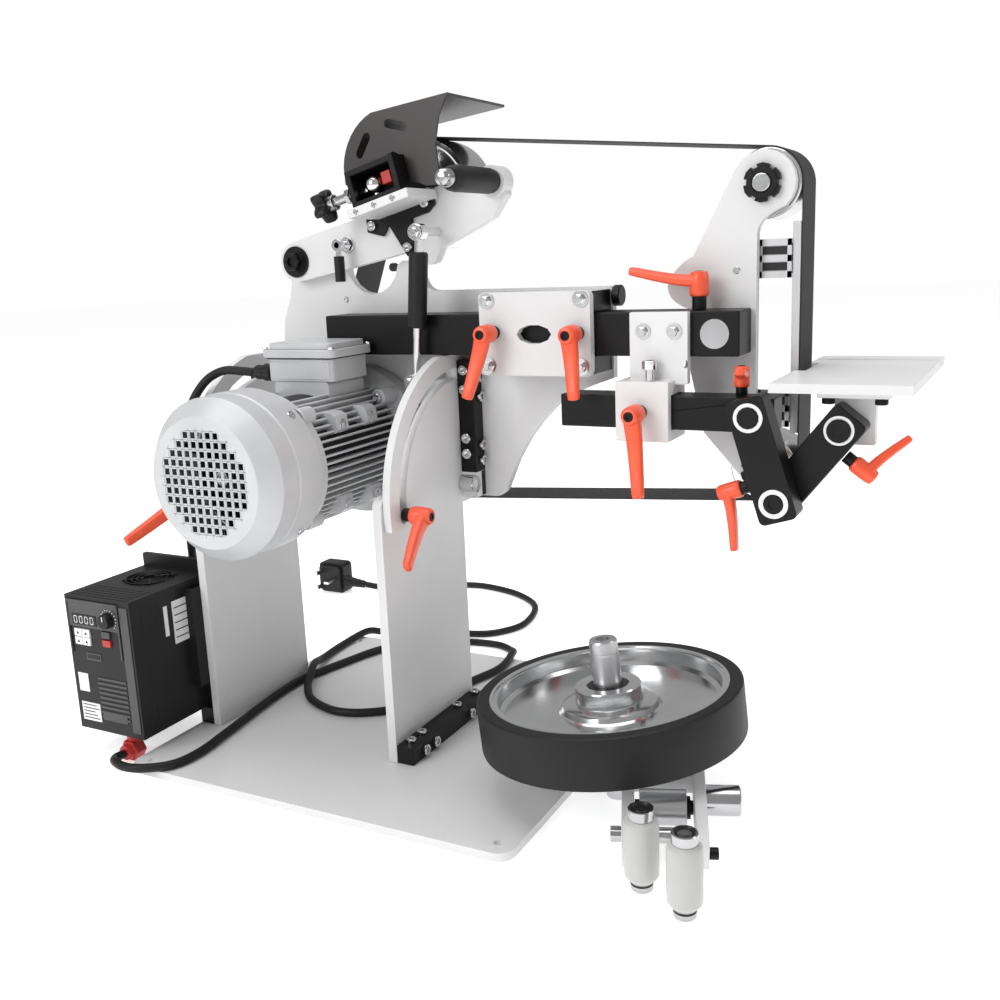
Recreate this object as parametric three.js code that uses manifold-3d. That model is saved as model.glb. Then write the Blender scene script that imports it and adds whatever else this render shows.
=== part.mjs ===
// Belt grinder with a tilting head on a bench stand, in millimetres, +Z up.
// X runs along the tool arm towards the platen, Y runs from the motor's fan to the drive wheel.
// The origin is the middle of the base plate's underside.

import * as THREE from "three";
import { mergeVertices } from "three/addons/utils/BufferGeometryUtils.js";
import Module from "manifold-3d";

const wasm = await Module();
wasm.setup();

// ---- driving dimensions -------------------------------------------------------------------

const GAP = 0.35;

const BASE = { length: 430, width: 400, thick: 8, corner: 15, hole: 9, holeInset: 17 };
const UPRIGHT = { thick: 9.5, front: -93, back: 62, top: 273.5, inner: 108, middle: -78.5 };
const FOOT_BAR = { side: 18, front: -92, back: 60 };
const PIVOT = { y: 48.4, z: 262 };
const SECTOR = { thick: 8, radius: 138, slotRadius: 115, slotHalf: 6, below: 20, rim: 5 };
const CORNER_BAR = { side: 18, bottom: 248, top: 389 };

const MAIN = { front: 66.5, back: 76.5, top: 459, right: 211, left: -184 };
const MOTOR = {
  x: -80, z: 303.5, fanFace: -193, coverBack: -120, bodyBack: 40, flangeBack: 66,
  bodyRadius: 64, finRadius: 69, coverRadius: 77, faceRadius: 60, flangeRadius: 80, fins: 18,
};
const BELT = { width: 50, thick: 1.2, front: 80 };
const DRIVE = { x: MOTOR.x, z: MOTOR.z, radius: 70 };
const TRACK = { x: 0, z: 556, radius: 55 };
const IDLER_TOP = { x: 353, z: 544, radius: 30.5 };
const IDLER_LOW = { x: 353, z: 289, radius: 30.5 };

const ARM = { side: 40, left: -96, right: 344, back: 66.2, bottom: 397 };
const RECEIVER = { left: 94, right: 209, bottom: 379, top: 457.5, front: 15, thick: 9, oval: 18 };
const PLATEN = { front: 66.5, thick: 10, barFace: 383.3, barThick: 7 };

const TENSION = { x: -146, z: 493.5, front: 50, back: 62, width: 42 };
const TILT = THREE.MathUtils.degToRad(14);
const HANDLE = { x: 98, z: 561, radius: 12, front: -52 };
const HOOD = {
  x: 3, z: 578, radius: 58, front: 20, back: 138, thick: 2.5, first: 1.95, last: 3.05, tip: [68, 642],
};
const GAS = { topX: 33, topZ: 517, lowX: 20, lowZ: 372, y: 13, radius: 9.5, rod: 4 };

const REST_BLOCK = { left: 238, right: 288, front: 0, back: 48, bottom: 323, top: 377 };
const REST_BAR = { left: 180, right: 379, front: 9, back: 39, bottom: 333.6 };
const LINK = { half: 16.5, thick: 26, bore: 10, corner: 5 };
const ELBOW_A = { x: 363.5, z: 350.5 };
const ELBOW_B = { x: 386, z: 278 };
const ELBOW_C = { x: 433, z: 338 };
const LINK_A_FRONT = -18;
const LINK_B_FRONT = 9;
const TABLE = { left: 381, right: 494, front: -22, back: 205, top: 380.5, thick: 8 };

const INVERTER = { left: -296, right: -206, front: -182, back: -66, bottom: 27, top: 173 };

const COLOUR = {
  paint: 0xd9d9db, black: 0x161617, orange: 0xf0502a, alloy: 0xc9cacc, steel: 0xb9b9bb,
  rubber: 0x202022, bronze: 0x4a4245, motor: 0xc4c6c8, red: 0xd0302c, grey: 0x3a3b3e,
  white: 0xf0f0ee, belt: 0x2b2b2d, copper: 0xb8733a,
};

// ---- solids -------------------------------------------------------------------------------

function toSolid(geometry) {
  const bare = new THREE.BufferGeometry();
  bare.setAttribute("position", geometry.getAttribute("position").clone());
  if (geometry.index) bare.setIndex(geometry.index.clone());
  const merged = mergeVertices(bare, 1e-4);
  const vertProperties = new Float32Array(merged.getAttribute("position").array);
  const triVerts = new Uint32Array(merged.index.array);
  return new wasm.Manifold(new wasm.Mesh({ numProp: 3, vertProperties, triVerts }));
}

function toGeometry(solid) {
  const mesh = solid.getMesh();
  const geometry = new THREE.BufferGeometry();
  geometry.setAttribute("position", new THREE.BufferAttribute(mesh.vertProperties, 3));
  geometry.setIndex(new THREE.BufferAttribute(mesh.triVerts, 1));
  geometry.computeVertexNormals();
  return geometry;
}

function join(...pieces) {
  return toGeometry(pieces.map(toSolid).reduce((sum, piece) => sum.add(piece)));
}

function cut(body, ...tools) {
  return toGeometry(tools.map(toSolid).reduce((left, tool) => left.subtract(tool), toSolid(body)));
}

function box(x0, x1, y0, y1, z0, z1) {
  const geometry = new THREE.BoxGeometry(x1 - x0, y1 - y0, z1 - z0);
  return geometry.translate((x0 + x1) / 2, (y0 + y1) / 2, (z0 + z1) / 2);
}

function point(x, y, z) {
  return new THREE.Vector3(x, y, z);
}

function rod(from, to, radius, sides = 16, endRadius = radius) {
  const along = to.clone().sub(from);
  const geometry = new THREE.CylinderGeometry(endRadius, radius, along.length(), sides);
  const turn = new THREE.Quaternion().setFromUnitVectors(point(0, 1, 0), along.normalize());
  geometry.applyQuaternion(turn);
  const middle = from.clone().add(to).multiplyScalar(0.5);
  return geometry.translate(middle.x, middle.y, middle.z);
}

// A cylinder along Y with its axis at x, z.
function rodY(x, z, y0, y1, radius, sides = 24) {
  return rod(point(x, y0, z), point(x, y1, z), radius, sides);
}

// The corners of an outline, with no two neighbours in the same place.
function corners(path, curveSegments) {
  const places = path.getPoints(curveSegments);
  return places.filter((place, index) => {
    const before = places[(index + places.length - 1) % places.length];
    return place.distanceTo(before) > 1e-3;
  });
}

function extrude(shape, depth, curveSegments) {
  const outline = new THREE.Shape(corners(shape, curveSegments));
  outline.holes = shape.holes.map((hole) => new THREE.Path(corners(hole, curveSegments)));
  return new THREE.ExtrudeGeometry(outline, { depth, bevelEnabled: false, curveSegments: 1 });
}

// A plate drawn in X and Z, from y0 to y1.
function plateXZ(shape, y0, y1, curveSegments = 8) {
  const geometry = extrude(shape, y1 - y0, curveSegments);
  const basis = new THREE.Matrix4().makeBasis(point(1, 0, 0), point(0, 0, 1), point(0, -1, 0));
  return geometry.applyMatrix4(basis).translate(0, y1, 0);
}

// A plate drawn in Y and Z, from x0 to x1.
function plateYZ(shape, x0, x1, curveSegments = 8) {
  const geometry = extrude(shape, x1 - x0, curveSegments);
  const basis = new THREE.Matrix4().makeBasis(point(0, 1, 0), point(0, 0, 1), point(1, 0, 0));
  return geometry.applyMatrix4(basis).translate(x0, 0, 0);
}

// A plate drawn in X and Y, from z0 to z1.
function plateXY(shape, z0, z1, curveSegments = 8) {
  return extrude(shape, z1 - z0, curveSegments).translate(0, 0, z0);
}

function polygon(corners) {
  return new THREE.Shape(corners.map(([u, v]) => new THREE.Vector2(u, v)));
}

function roundedRectangle(u0, u1, v0, v1, radius) {
  const shape = new THREE.Shape();
  shape.moveTo(u0 + radius, v0);
  shape.lineTo(u1 - radius, v0);
  shape.absarc(u1 - radius, v0 + radius, radius, -Math.PI / 2, 0);
  shape.lineTo(u1, v1 - radius);
  shape.absarc(u1 - radius, v1 - radius, radius, 0, Math.PI / 2);
  shape.lineTo(u0 + radius, v1);
  shape.absarc(u0 + radius, v1 - radius, radius, Math.PI / 2, Math.PI);
  shape.lineTo(u0, v0 + radius);
  shape.absarc(u0 + radius, v0 + radius, radius, Math.PI, 1.5 * Math.PI);
  return shape;
}

// A bar with round ends between two points of a plane.
function stadium(u0, v0, u1, v1, radius) {
  const heading = Math.atan2(v1 - v0, u1 - u0);
  const shape = new THREE.Shape();
  shape.absarc(u1, v1, radius, heading - Math.PI / 2, heading + Math.PI / 2);
  shape.absarc(u0, v0, radius, heading + Math.PI / 2, heading + 1.5 * Math.PI);
  return shape;
}

// A turned piece on an axis along Y; the profile is a list of [radius, y].
function turned(profile, x, z, sides = 32) {
  const points = profile.map(([radius, y]) => new THREE.Vector2(radius, y));
  return new THREE.LatheGeometry(points, sides).translate(x, 0, z);
}

// A ring on an axis along Y, closed on itself.
function ringY(x, z, y0, y1, inner, outer, sides = 32) {
  return turned([[inner, y0], [outer, y0], [outer, y1], [inner, y1], [inner, y0]], x, z, sides);
}

// A solid swept along a smooth route with a round section.
function cordAlong(route, diameter, steps, sides = 8) {
  const section = new THREE.Shape(circlePoints(diameter / 2, sides));
  const extrudePath = new THREE.CatmullRomCurve3(route.map((place) => point(...place)));
  return new THREE.ExtrudeGeometry(section, { steps, extrudePath, bevelEnabled: false });
}

function circlePoints(radius, sides) {
  return Array.from({ length: sides }, (_, index) => {
    const angle = (index / sides) * 2 * Math.PI;
    return new THREE.Vector2(radius * Math.cos(angle), radius * Math.sin(angle));
  });
}

// ---- the scene graph ----------------------------------------------------------------------

const grinder = new THREE.Group();

function add(name, geometry, color, roughness = 0.5, metalness = 0) {
  const material = new THREE.MeshStandardMaterial({ color, roughness, metalness });
  const mesh = new THREE.Mesh(geometry, material);
  mesh.name = name;
  grinder.add(mesh);
}

// ---- stand --------------------------------------------------------------------------------

const UPRIGHT_RIGHT = UPRIGHT.middle + UPRIGHT.inner;
const UPRIGHT_LEFT = UPRIGHT.middle - UPRIGHT.inner;

function basePlate() {
  const halfLength = BASE.length / 2;
  const halfWidth = BASE.width / 2;
  const outline = roundedRectangle(-halfLength, halfLength, -halfWidth, halfWidth, BASE.corner);
  for (const sideX of [-1, 1]) {
    for (const sideY of [-1, 1]) {
      const hole = new THREE.Path();
      const x = sideX * (halfLength - BASE.holeInset);
      const y = sideY * (halfWidth - BASE.holeInset);
      outline.holes.push(hole.absarc(x, y, BASE.hole / 2, 0, 2 * Math.PI));
    }
  }
  return plateXY(outline, 0, BASE.thick, 4);
}

function upright(side) {
  const inner = UPRIGHT.middle + side * UPRIGHT.inner;
  const outer = inner + side * UPRIGHT.thick;
  const low = BASE.thick + GAP;
  const outline = roundedRectangle(UPRIGHT.front, UPRIGHT.back, low, UPRIGHT.top, 9);
  const plate = plateYZ(outline, Math.min(inner, outer), Math.max(inner, outer), 3);
  const far = outer + side * FOOT_BAR.side;
  const lift = low + FOOT_BAR.side;
  const bar = box(Math.min(outer, far), Math.max(outer, far), FOOT_BAR.front, FOOT_BAR.back, low, lift);
  const foot = box(Math.min(inner, outer), Math.max(inner, outer), UPRIGHT.front, UPRIGHT.back, low, 40);
  return join(plate, bar, foot, pivotBolt(side));
}

// ---- tilting head -------------------------------------------------------------------------

// The toothless quadrant: a quarter disc about the pivot with an arc slot for the locking stud.
function sectorOutline() {
  const { y, z } = PIVOT;
  const right = MAIN.front - GAP;
  const low = z - SECTOR.below;
  const high = ARM.bottom - 1;
  const startAngle = Math.PI - Math.asin((high - z) / SECTOR.radius);
  const endAngle = Math.PI + Math.asin(SECTOR.below / SECTOR.radius);
  const shape = new THREE.Shape();
  shape.moveTo(right, low);
  shape.lineTo(right, high);
  shape.absarc(y, z, SECTOR.radius, startAngle, endAngle, false);
  return shape;
}

function slotPath() {
  const { y, z } = PIVOT;
  const first = THREE.MathUtils.degToRad(92);
  const last = THREE.MathUtils.degToRad(185);
  const { slotRadius, slotHalf } = SECTOR;
  const shape = new THREE.Shape();
  shape.absarc(y, z, slotRadius + slotHalf, first, last, false);
  const endY = y + slotRadius * Math.cos(last);
  const endZ = z + slotRadius * Math.sin(last);
  shape.absarc(endY, endZ, slotHalf, last, last + Math.PI, false);
  shape.absarc(y, z, slotRadius - slotHalf, last, first, true);
  const topY = y + slotRadius * Math.cos(first);
  const topZ = z + slotRadius * Math.sin(first);
  shape.absarc(topY, topZ, slotHalf, first - Math.PI, first, false);
  return shape;
}

function sector(side) {
  const inner = UPRIGHT.middle + side * (UPRIGHT.inner + UPRIGHT.thick + 0.4);
  const outer = inner + side * SECTOR.thick;
  const x0 = Math.min(inner, outer);
  const x1 = Math.max(inner, outer);
  const plate = plateYZ(sectorOutline(), x0, x1, 9);
  const slot = plateYZ(slotPath(), x0 - 1, x1 + 1, 5);
  const bolt = rod(point(x0 - 1, PIVOT.y, PIVOT.z), point(x1 + 1, PIVOT.y, PIVOT.z), 6.4, 16);
  const far = outer + side * (CORNER_BAR.side + 2);
  const headRoom = rod(point(outer, PIVOT.y, PIVOT.z), point(far, PIVOT.y, PIVOT.z), 9, 16);
  return cut(join(plate, cornerBar(side)), slot, bolt, headRoom);
}

// The square bar that bolts the quadrant to the main plate.
function cornerBar(side) {
  const inner = UPRIGHT.middle + side * (UPRIGHT.inner + UPRIGHT.thick + SECTOR.thick);
  const outer = inner + side * CORNER_BAR.side;
  const back = MAIN.front - GAP;
  const { bottom, top } = CORNER_BAR;
  return box(Math.min(inner, outer), Math.max(inner, outer), back - CORNER_BAR.side, back, bottom, top);
}

// A shouldered pin through the upright and the quadrant, with a round head outside.
function pivotBolt(side) {
  const inner = UPRIGHT.middle + side * (UPRIGHT.inner - 8);
  const face = UPRIGHT.middle + side * (UPRIGHT.inner + UPRIGHT.thick + 0.4 + SECTOR.thick + GAP);
  const head = face + side * 15;
  const shank = rod(point(inner, PIVOT.y, PIVOT.z), point(face, PIVOT.y, PIVOT.z), 6, 16);
  const cap = rod(point(face, PIVOT.y, PIVOT.z), point(head, PIVOT.y, PIVOT.z), 8.4, 16);
  return join(shank, cap);
}

function mainPlateOutline() {
  const shape = new THREE.Shape();
  const { left, right, top } = MAIN;
  shape.moveTo(left, 330);
  shape.lineTo(left, 410);
  shape.bezierCurveTo(left, 440, -170, 446, -168, 470);
  shape.absarc(TENSION.x, TENSION.z, 23, Math.PI * 1.1, Math.PI * 0.35, true);
  shape.lineTo(-92, 489);
  shape.absarc(-60, 489, 32, Math.PI, 2 * Math.PI * 0.985, false);
  shape.bezierCurveTo(-22, 494, -6, 494, 2, top + 14);
  shape.quadraticCurveTo(6, top, 18, top);
  shape.lineTo(right - 4, top);
  shape.quadraticCurveTo(right, top, right, top - 4);
  shape.lineTo(right, 372);
  shape.quadraticCurveTo(168, 358, 152, 346);
  shape.quadraticCurveTo(112, 312, 93, 262);
  shape.quadraticCurveTo(88, 246, 76, 246);
  shape.lineTo(47, 246);
  shape.lineTo(47, 281);
  shape.lineTo(6, 281);
  shape.lineTo(6, 246);
  shape.lineTo(-160, 246);
  shape.quadraticCurveTo(left, 262, left, 330);
  return shape;
}

function mainPlate() {
  const plate = plateXZ(mainPlateOutline(), MAIN.front, MAIN.back, 4);
  const shaftHole = rodY(MOTOR.x, MOTOR.z, MAIN.front - 1, MAIN.back + 1, 45, 20);
  const smallHole = rodY(-35, 484, MAIN.front - 1, MAIN.back + 1, 4.5, 12);
  const pivotBoss = rodY(TENSION.x, TENSION.z, TENSION.front - 3, MAIN.back + 3, 7.6, 18);
  const gasStud = rodY(GAS.lowX, GAS.lowZ, GAS.y - 6, MAIN.back, 4, 12);
  const gasHead = rodY(GAS.lowX, GAS.lowZ, GAS.y - 10, GAS.y - 5.5, 7, 12);
  return join(cut(plate, shaftHole, smallHole), pivotBoss, gasStud, gasHead);
}

// ---- motor --------------------------------------------------------------------------------

// The ribbed barrel's section: one rib and one valley for every fin.
function ribbedOutline() {
  const { x, z, bodyRadius, finRadius, fins } = MOTOR;
  const places = [];
  for (let fin = 0; fin < fins; fin += 1) {
    const steps = [[0, finRadius], [0.45, finRadius], [0.5, bodyRadius], [0.95, bodyRadius]];
    for (const [part, radius] of steps) {
      const angle = ((fin + part) / fins) * 2 * Math.PI;
      places.push([x + radius * Math.cos(angle), z + radius * Math.sin(angle)]);
    }
  }
  return polygon(places);
}

function motorHousing() {
  const { x, z, coverBack, bodyBack, flangeBack, flangeRadius } = MOTOR;
  const front = coverBack + GAP;
  const back = flangeBack - GAP;
  const body = plateXZ(ribbedOutline(), front + 14, bodyBack - 8, 1);
  const frontShield = ringY(x, z, front, front + 16, 20, 72, 28);
  const shield = turned([
    [20, bodyBack - 10], [66, bodyBack - 10], [flangeRadius, bodyBack + 8], [flangeRadius, back - 3],
    [44, back - 3], [44, back], [20, back], [20, bodyBack - 10],
  ], x, z, 28);
  const bore = rodY(x, z, front + 10, bodyBack - 14, 55, 24);
  const pad = box(x - 33, x + 33, -43, 17, z + 58, z + 73);
  const lugs = [];
  for (const angle of [45, 135, 225, 315]) {
    const reach = THREE.MathUtils.degToRad(angle);
    const lug = (radius, y0, y1) => {
      return rodY(x + radius * Math.cos(reach), z + radius * Math.sin(reach), y0, y1, 9, 8);
    };
    lugs.push(lug(72, bodyBack - 22, bodyBack + 6), lug(70, front + 2, front + 20));
  }
  const shaftRoom = rodY(x, z, front + 10, bodyBack, 20.5, 20);
  return cut(join(body, frontShield, shield, pad, ...lugs), bore, shaftRoom);
}

function motorStator() {
  return ringY(MOTOR.x, MOTOR.z, -92, 8, 34, 54.6, 24);
}

function motorRotor() {
  const { x, z } = MOTOR;
  return turned([
    [0, -170], [7, -170], [7, -110], [12, -110], [12, -80], [33, -80], [33, -4], [12, -4],
    [12, 64], [9.5, 64], [9.5, 136], [0, 136],
  ], x, z, 18);
}

function motorFan() {
  const { x, z } = MOTOR;
  const blades = [ringY(x, z, -160, -134, 7.4, 18, 14), ringY(x, z, -136, -132, 16, 62, 20)];
  for (let blade = 0; blade < 7; blade += 1) {
    const vane = box(12, 60, -158, -134, -1.5, 1.5);
    vane.rotateY((blade / 7) * 2 * Math.PI);
    blades.push(vane.translate(x, 0, z));
  }
  return join(...blades);
}

function fanCover() {
  const { x, z, fanFace, coverBack, coverRadius, faceRadius } = MOTOR;
  const wall = 2;
  const shell = turned([
    [0, fanFace], [faceRadius, fanFace], [coverRadius, fanFace + 15], [coverRadius, coverBack],
    [coverRadius - wall, coverBack], [coverRadius - wall, fanFace + 16],
    [faceRadius - 1, fanFace + wall], [0, fanFace + wall],
  ], x, z, 24);
  const openings = [];
  const pitch = 20;
  for (let column = -2; column <= 2; column += 1) {
    for (let row = -2; row <= 2; row += 1) {
      if (Math.hypot(column, row) * pitch > 50) continue;
      const u = x + column * pitch;
      const v = z + row * pitch;
      openings.push(box(u - 7, u + 7, fanFace - 1, fanFace + wall + 1, v - 7, v + 7));
    }
  }
  return cut(shell, ...openings);
}

function terminalBox() {
  const { x, z } = MOTOR;
  const low = z + 73 + GAP;
  const body = box(x - 40, x + 40, -45, 19, low, low + 24);
  const lid = box(x - 44.5, x + 44.5, -49, 23, low + 23, low + 32);
  const crown = box(x - 39, x + 39, -44, 18, low + 31, low + 38);
  const gland = rod(point(x - 64, -36, low + 8), point(x - 36, -36, low + 8), 9, 12);
  return join(body, lid, crown, gland);
}

// ---- drive wheel, idlers and belt ---------------------------------------------------------

function driveWheel() {
  const { x, z, radius } = DRIVE;
  const bore = 9.8;
  const front = BELT.front - 1;
  const back = BELT.front + BELT.width + 1;
  return turned([
    [bore, front], [radius - 1, front], [radius, front + 1], [radius, back - 1],
    [radius - 8, back], [radius - 8, back - 14], [bore + 12, back - 14], [bore + 12, back - 6],
    [bore, back - 6], [bore, front],
  ], x, z, 28);
}

function idler(wheel) {
  const { x, z, radius } = wheel;
  const front = BELT.front - 1;
  const back = BELT.front + BELT.width + 1;
  return turned([
    [0, PLATEN.front - 9], [8, PLATEN.front - 9], [8, front], [radius, front], [radius, back],
    [13, back], [13, back + 4], [0, back + 4],
  ], x, z, 20);
}

// The loop: straight runs between the wheels and arcs round them, offset outwards by grow.
function loopPath(grow) {
  const wheels = [IDLER_LOW, IDLER_TOP, TRACK, DRIVE];
  const path = new THREE.Shape();
  const headings = wheels.map((wheel, index) => {
    const next = wheels[(index + 1) % wheels.length];
    const distance = Math.hypot(next.x - wheel.x, next.z - wheel.z);
    const swing = Math.asin((wheel.radius - next.radius) / distance);
    return Math.atan2(next.z - wheel.z, next.x - wheel.x) - Math.PI / 2 + swing;
  });
  wheels.forEach((wheel, index) => {
    const arriving = headings[(index + wheels.length - 1) % wheels.length];
    let leaving = headings[index];
    while (leaving < arriving) leaving += 2 * Math.PI;
    path.absarc(wheel.x, wheel.z, wheel.radius + grow, arriving, leaving, false);
  });
  return path;
}

function abrasiveBelt() {
  const outline = loopPath(GAP + BELT.thick);
  outline.holes.push(loopPath(GAP));
  return plateXZ(outline, BELT.front, BELT.front + BELT.width, 6);
}

// ---- tension arm and tracking -------------------------------------------------------------

// A place on the tension arm, along it and above its centre line, turned to the arm's slope.
function onArm(along, above) {
  const { x, z } = TENSION;
  return [
    x + along * Math.cos(TILT) - above * Math.sin(TILT),
    z + along * Math.sin(TILT) + above * Math.cos(TILT),
  ];
}

function tensionArm() {
  const half = TENSION.width / 2;
  const shape = new THREE.Shape();
  const edge = [[60, -half - 4], [154, -half - 9], [159, -half - 27], [167, -half - 27], [178, -half - 15]];
  edge.push([242, -half - 4], [262, -9], [266, 12], [250, 22], [90, half - 1]);
  shape.absarc(TENSION.x, TENSION.z, half, TILT + Math.PI / 2, TILT + 1.5 * Math.PI, false);
  for (const [along, above] of edge) shape.lineTo(...onArm(along, above));
  const bar = plateXZ(shape, TENSION.front, TENSION.back, 8);
  const boss = rodY(HANDLE.x, HANDLE.z, TENSION.front - 8, TENSION.back, 15, 20);
  const stud = rodY(GAS.topX, GAS.topZ, GAS.y - 6, TENSION.back, 4, 12);
  const bore = rodY(TENSION.x, TENSION.z, TENSION.front - 1, TENSION.back + 1, 8, 18);
  const axleHole = rodY(TRACK.x, TRACK.z, TENSION.front - 1, TENSION.back + 1, 9, 16);
  return cut(join(bar, boss, stud), bore, axleHole);
}

function releaseHandle() {
  const { x, z, radius, front } = HANDLE;
  return rodY(x, z, front, TENSION.front - 8 - GAP, radius, 20);
}

function armRectangle(along0, along1, above0, above1) {
  const places = [[along0, above0], [along1, above0], [along1, above1], [along0, above1]];
  return polygon(places.map(([along, above]) => onArm(along, above)));
}

function trackingBracket() {
  const front = -1;
  const back = TENSION.front - GAP;
  const legs = [[104, 20], [100, 2], [118, -7], [128, 2], [140, -34], [150, -36], [156, 0], [176, 0],
    [186, 6], [184, 24]];
  const flange = plateXZ(polygon(legs.map(([along, above]) => onArm(along, above))), back - 5, back, 1);
  const frame = plateXZ(armRectangle(122, 180, 19, 55), front, back - 2, 1);
  const opening = plateXZ(armRectangle(129, 173, 25, 49), front - 1, back - 12, 1);
  const shelf = plateXZ(armRectangle(118, 190, 10, 20), front - 6, back - 2, 1);
  return cut(join(flange, frame, shelf), opening);
}

function trackingAxle() {
  const axle = rodY(TRACK.x, TRACK.z, TENSION.back - 10, BELT.front + BELT.width + 8, 6, 14);
  const collar = rodY(TRACK.x, TRACK.z, TENSION.back + 2, TENSION.back + 12, 14, 16);
  return join(axle, collar);
}

function trackingKnob() {
  const shape = new THREE.Shape();
  const lobes = 5;
  for (let step = 0; step <= 40; step += 1) {
    const angle = (step / 40) * 2 * Math.PI;
    const radius = 14 + 3.4 * Math.cos(lobes * angle);
    const place = [radius * Math.cos(angle), radius * Math.sin(angle)];
    if (step === 0) shape.moveTo(...place);
    else if (step < 40) shape.lineTo(...place);
  }
  const head = new THREE.ExtrudeGeometry(shape, { depth: 15, bevelEnabled: false });
  head.translate(0, 0, -34);
  const screw = rod(point(0, 0, -20), point(0, 0, 12), 4, 12);
  const knob = join(head, screw);
  const along = point(Math.cos(TILT), 0, Math.sin(TILT));
  knob.applyQuaternion(new THREE.Quaternion().setFromUnitVectors(point(0, 0, 1), along));
  const [x, z] = onArm(107.5, 35);
  return knob.translate(x, 14, z);
}

function trackingWheel() {
  const { x, z, radius } = TRACK;
  const front = BELT.front - 2;
  const back = BELT.front + BELT.width + 2;
  const middle = (front + back) / 2;
  return turned([
    [6.5, front], [14, front], [14, front + 10], [radius - 8, front + 10], [radius - 6, front],
    [radius - 0.3, front], [radius, middle], [radius - 0.3, back], [6.5, back], [6.5, front],
  ], x, z, 28);
}

function beltHood() {
  const near = HOOD.front;
  const far = HOOD.back;
  const line = [];
  for (let step = 0; step <= 8; step += 1) {
    const angle = HOOD.first + ((HOOD.last - HOOD.first) * step) / 8;
    line.push([angle, HOOD.radius]);
  }
  const place = ([angle, radius]) => [
    HOOD.x + radius * Math.cos(angle), HOOD.z + radius * Math.sin(angle),
  ];
  const outer = [HOOD.tip, ...line.map(place)];
  const inner = [[HOOD.tip[0] - 0.8, HOOD.tip[1] - HOOD.thick]];
  inner.push(...line.map(([angle, radius]) => place([angle, radius - HOOD.thick])));
  const visor = plateXZ(polygon([...outer, ...inner.reverse()]), near, far, 1);
  const face = plateXZ(polygon([
    ...outer, [-54, 566], [-46, 566], [-42, 576], [4, 594], [14, 590], [22, 566], [40, 560],
    [56, 560], [52, 598], [57, 622],
  ]), near, near + HOOD.thick, 1);
  const slot = (x, z, heading) => {
    const du = 9 * Math.cos(heading);
    const dv = 9 * Math.sin(heading);
    return plateXZ(stadium(x - du, z - dv, x + du, z + dv, 4.2), near - 1, near + 4, 3);
  };
  const room = plateXZ(armRectangle(121, 181, 9, 56), near - 1, near + 4, 1);
  return cut(join(visor, face), slot(-30, 602, 1.02), slot(9, 618, -0.25), room);
}

function gasDirection() {
  return point(GAS.topX - GAS.lowX, 0, GAS.topZ - GAS.lowZ).normalize();
}

function gasCylinder() {
  const along = gasDirection();
  const top = point(GAS.topX, GAS.y, GAS.topZ);
  const down = (distance) => top.clone().addScaledVector(along, -distance);
  const eye = rodY(GAS.topX, GAS.topZ, GAS.y - 5, GAS.y + 5, 8, 14);
  const neck = rod(down(5), down(20), 4, 10);
  const tube = rod(down(19), down(92), GAS.radius, 20);
  const eyeBore = rodY(GAS.topX, GAS.topZ, GAS.y - 7, GAS.y + 7, 4.4, 12);
  const rodBore = rod(down(26), down(94), GAS.rod + 0.5, 12);
  return cut(join(eye, neck, tube), eyeBore, rodBore);
}

function gasRod() {
  const along = gasDirection();
  const low = point(GAS.lowX, GAS.y, GAS.lowZ);
  const up = (distance) => low.clone().addScaledVector(along, distance);
  const eye = rodY(GAS.lowX, GAS.lowZ, GAS.y - 5, GAS.y + 5, 8, 14);
  const shaft = rod(up(5), up(72), GAS.rod, 12);
  const bore = rodY(GAS.lowX, GAS.lowZ, GAS.y - 7, GAS.y + 7, 5.4, 12);
  return cut(join(eye, shaft), bore);
}

// ---- tool arm, receiver and platen --------------------------------------------------------

const ARM_FRONT = ARM.back - ARM.side;
const ARM_TOP = ARM.bottom + ARM.side;

function receiver() {
  const { left, right, bottom, top, front, thick } = RECEIVER;
  const outline = roundedRectangle(left, right, bottom, top, 5);
  const oval = new THREE.Path();
  oval.absellipse((left + right) / 2, 418, RECEIVER.oval, 9, 0, 2 * Math.PI);
  outline.holes.push(oval);
  const face = plateXZ(outline, front, front + thick, 5);
  const back = MAIN.front - GAP;
  const railTop = box(left + 2, right - 2, front + thick - 1, back, ARM_TOP + GAP, top - 1);
  const railLow = box(left + 2, right - 2, front + thick - 1, back, bottom + 1, ARM.bottom - GAP);
  return join(face, railTop, railLow);
}

function platenPlateOutline() {
  const { x: topX, z: topZ } = IDLER_TOP;
  const { x: lowX, z: lowZ } = IDLER_LOW;
  const shape = new THREE.Shape();
  shape.absarc(topX, topZ, 28, Math.PI * 0.85, -Math.PI * 0.25, true);
  shape.quadraticCurveTo(topX - 4, topZ - 28, topX - 5, topZ - 42);
  shape.lineTo(topX - 5, lowZ + 20);
  shape.absarc(lowX, lowZ, 20, Math.PI / 2.4, -Math.PI * 0.62, true);
  shape.lineTo(300, 322);
  shape.lineTo(287, 380);
  shape.lineTo(287, 436);
  shape.quadraticCurveTo(262, 444, 266, 462);
  shape.quadraticCurveTo(276, 478, 290, 484);
  return shape;
}

function platenPlate() {
  const front = PLATEN.front + GAP;
  const plate = plateXZ(platenPlateOutline(), front, front + PLATEN.thick, 6);
  const holes = [IDLER_TOP, IDLER_LOW].map(({ x, z }) => rodY(x, z, front - 2, front + 14, 8.6, 16));
  return cut(plate, ...holes);
}

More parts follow.
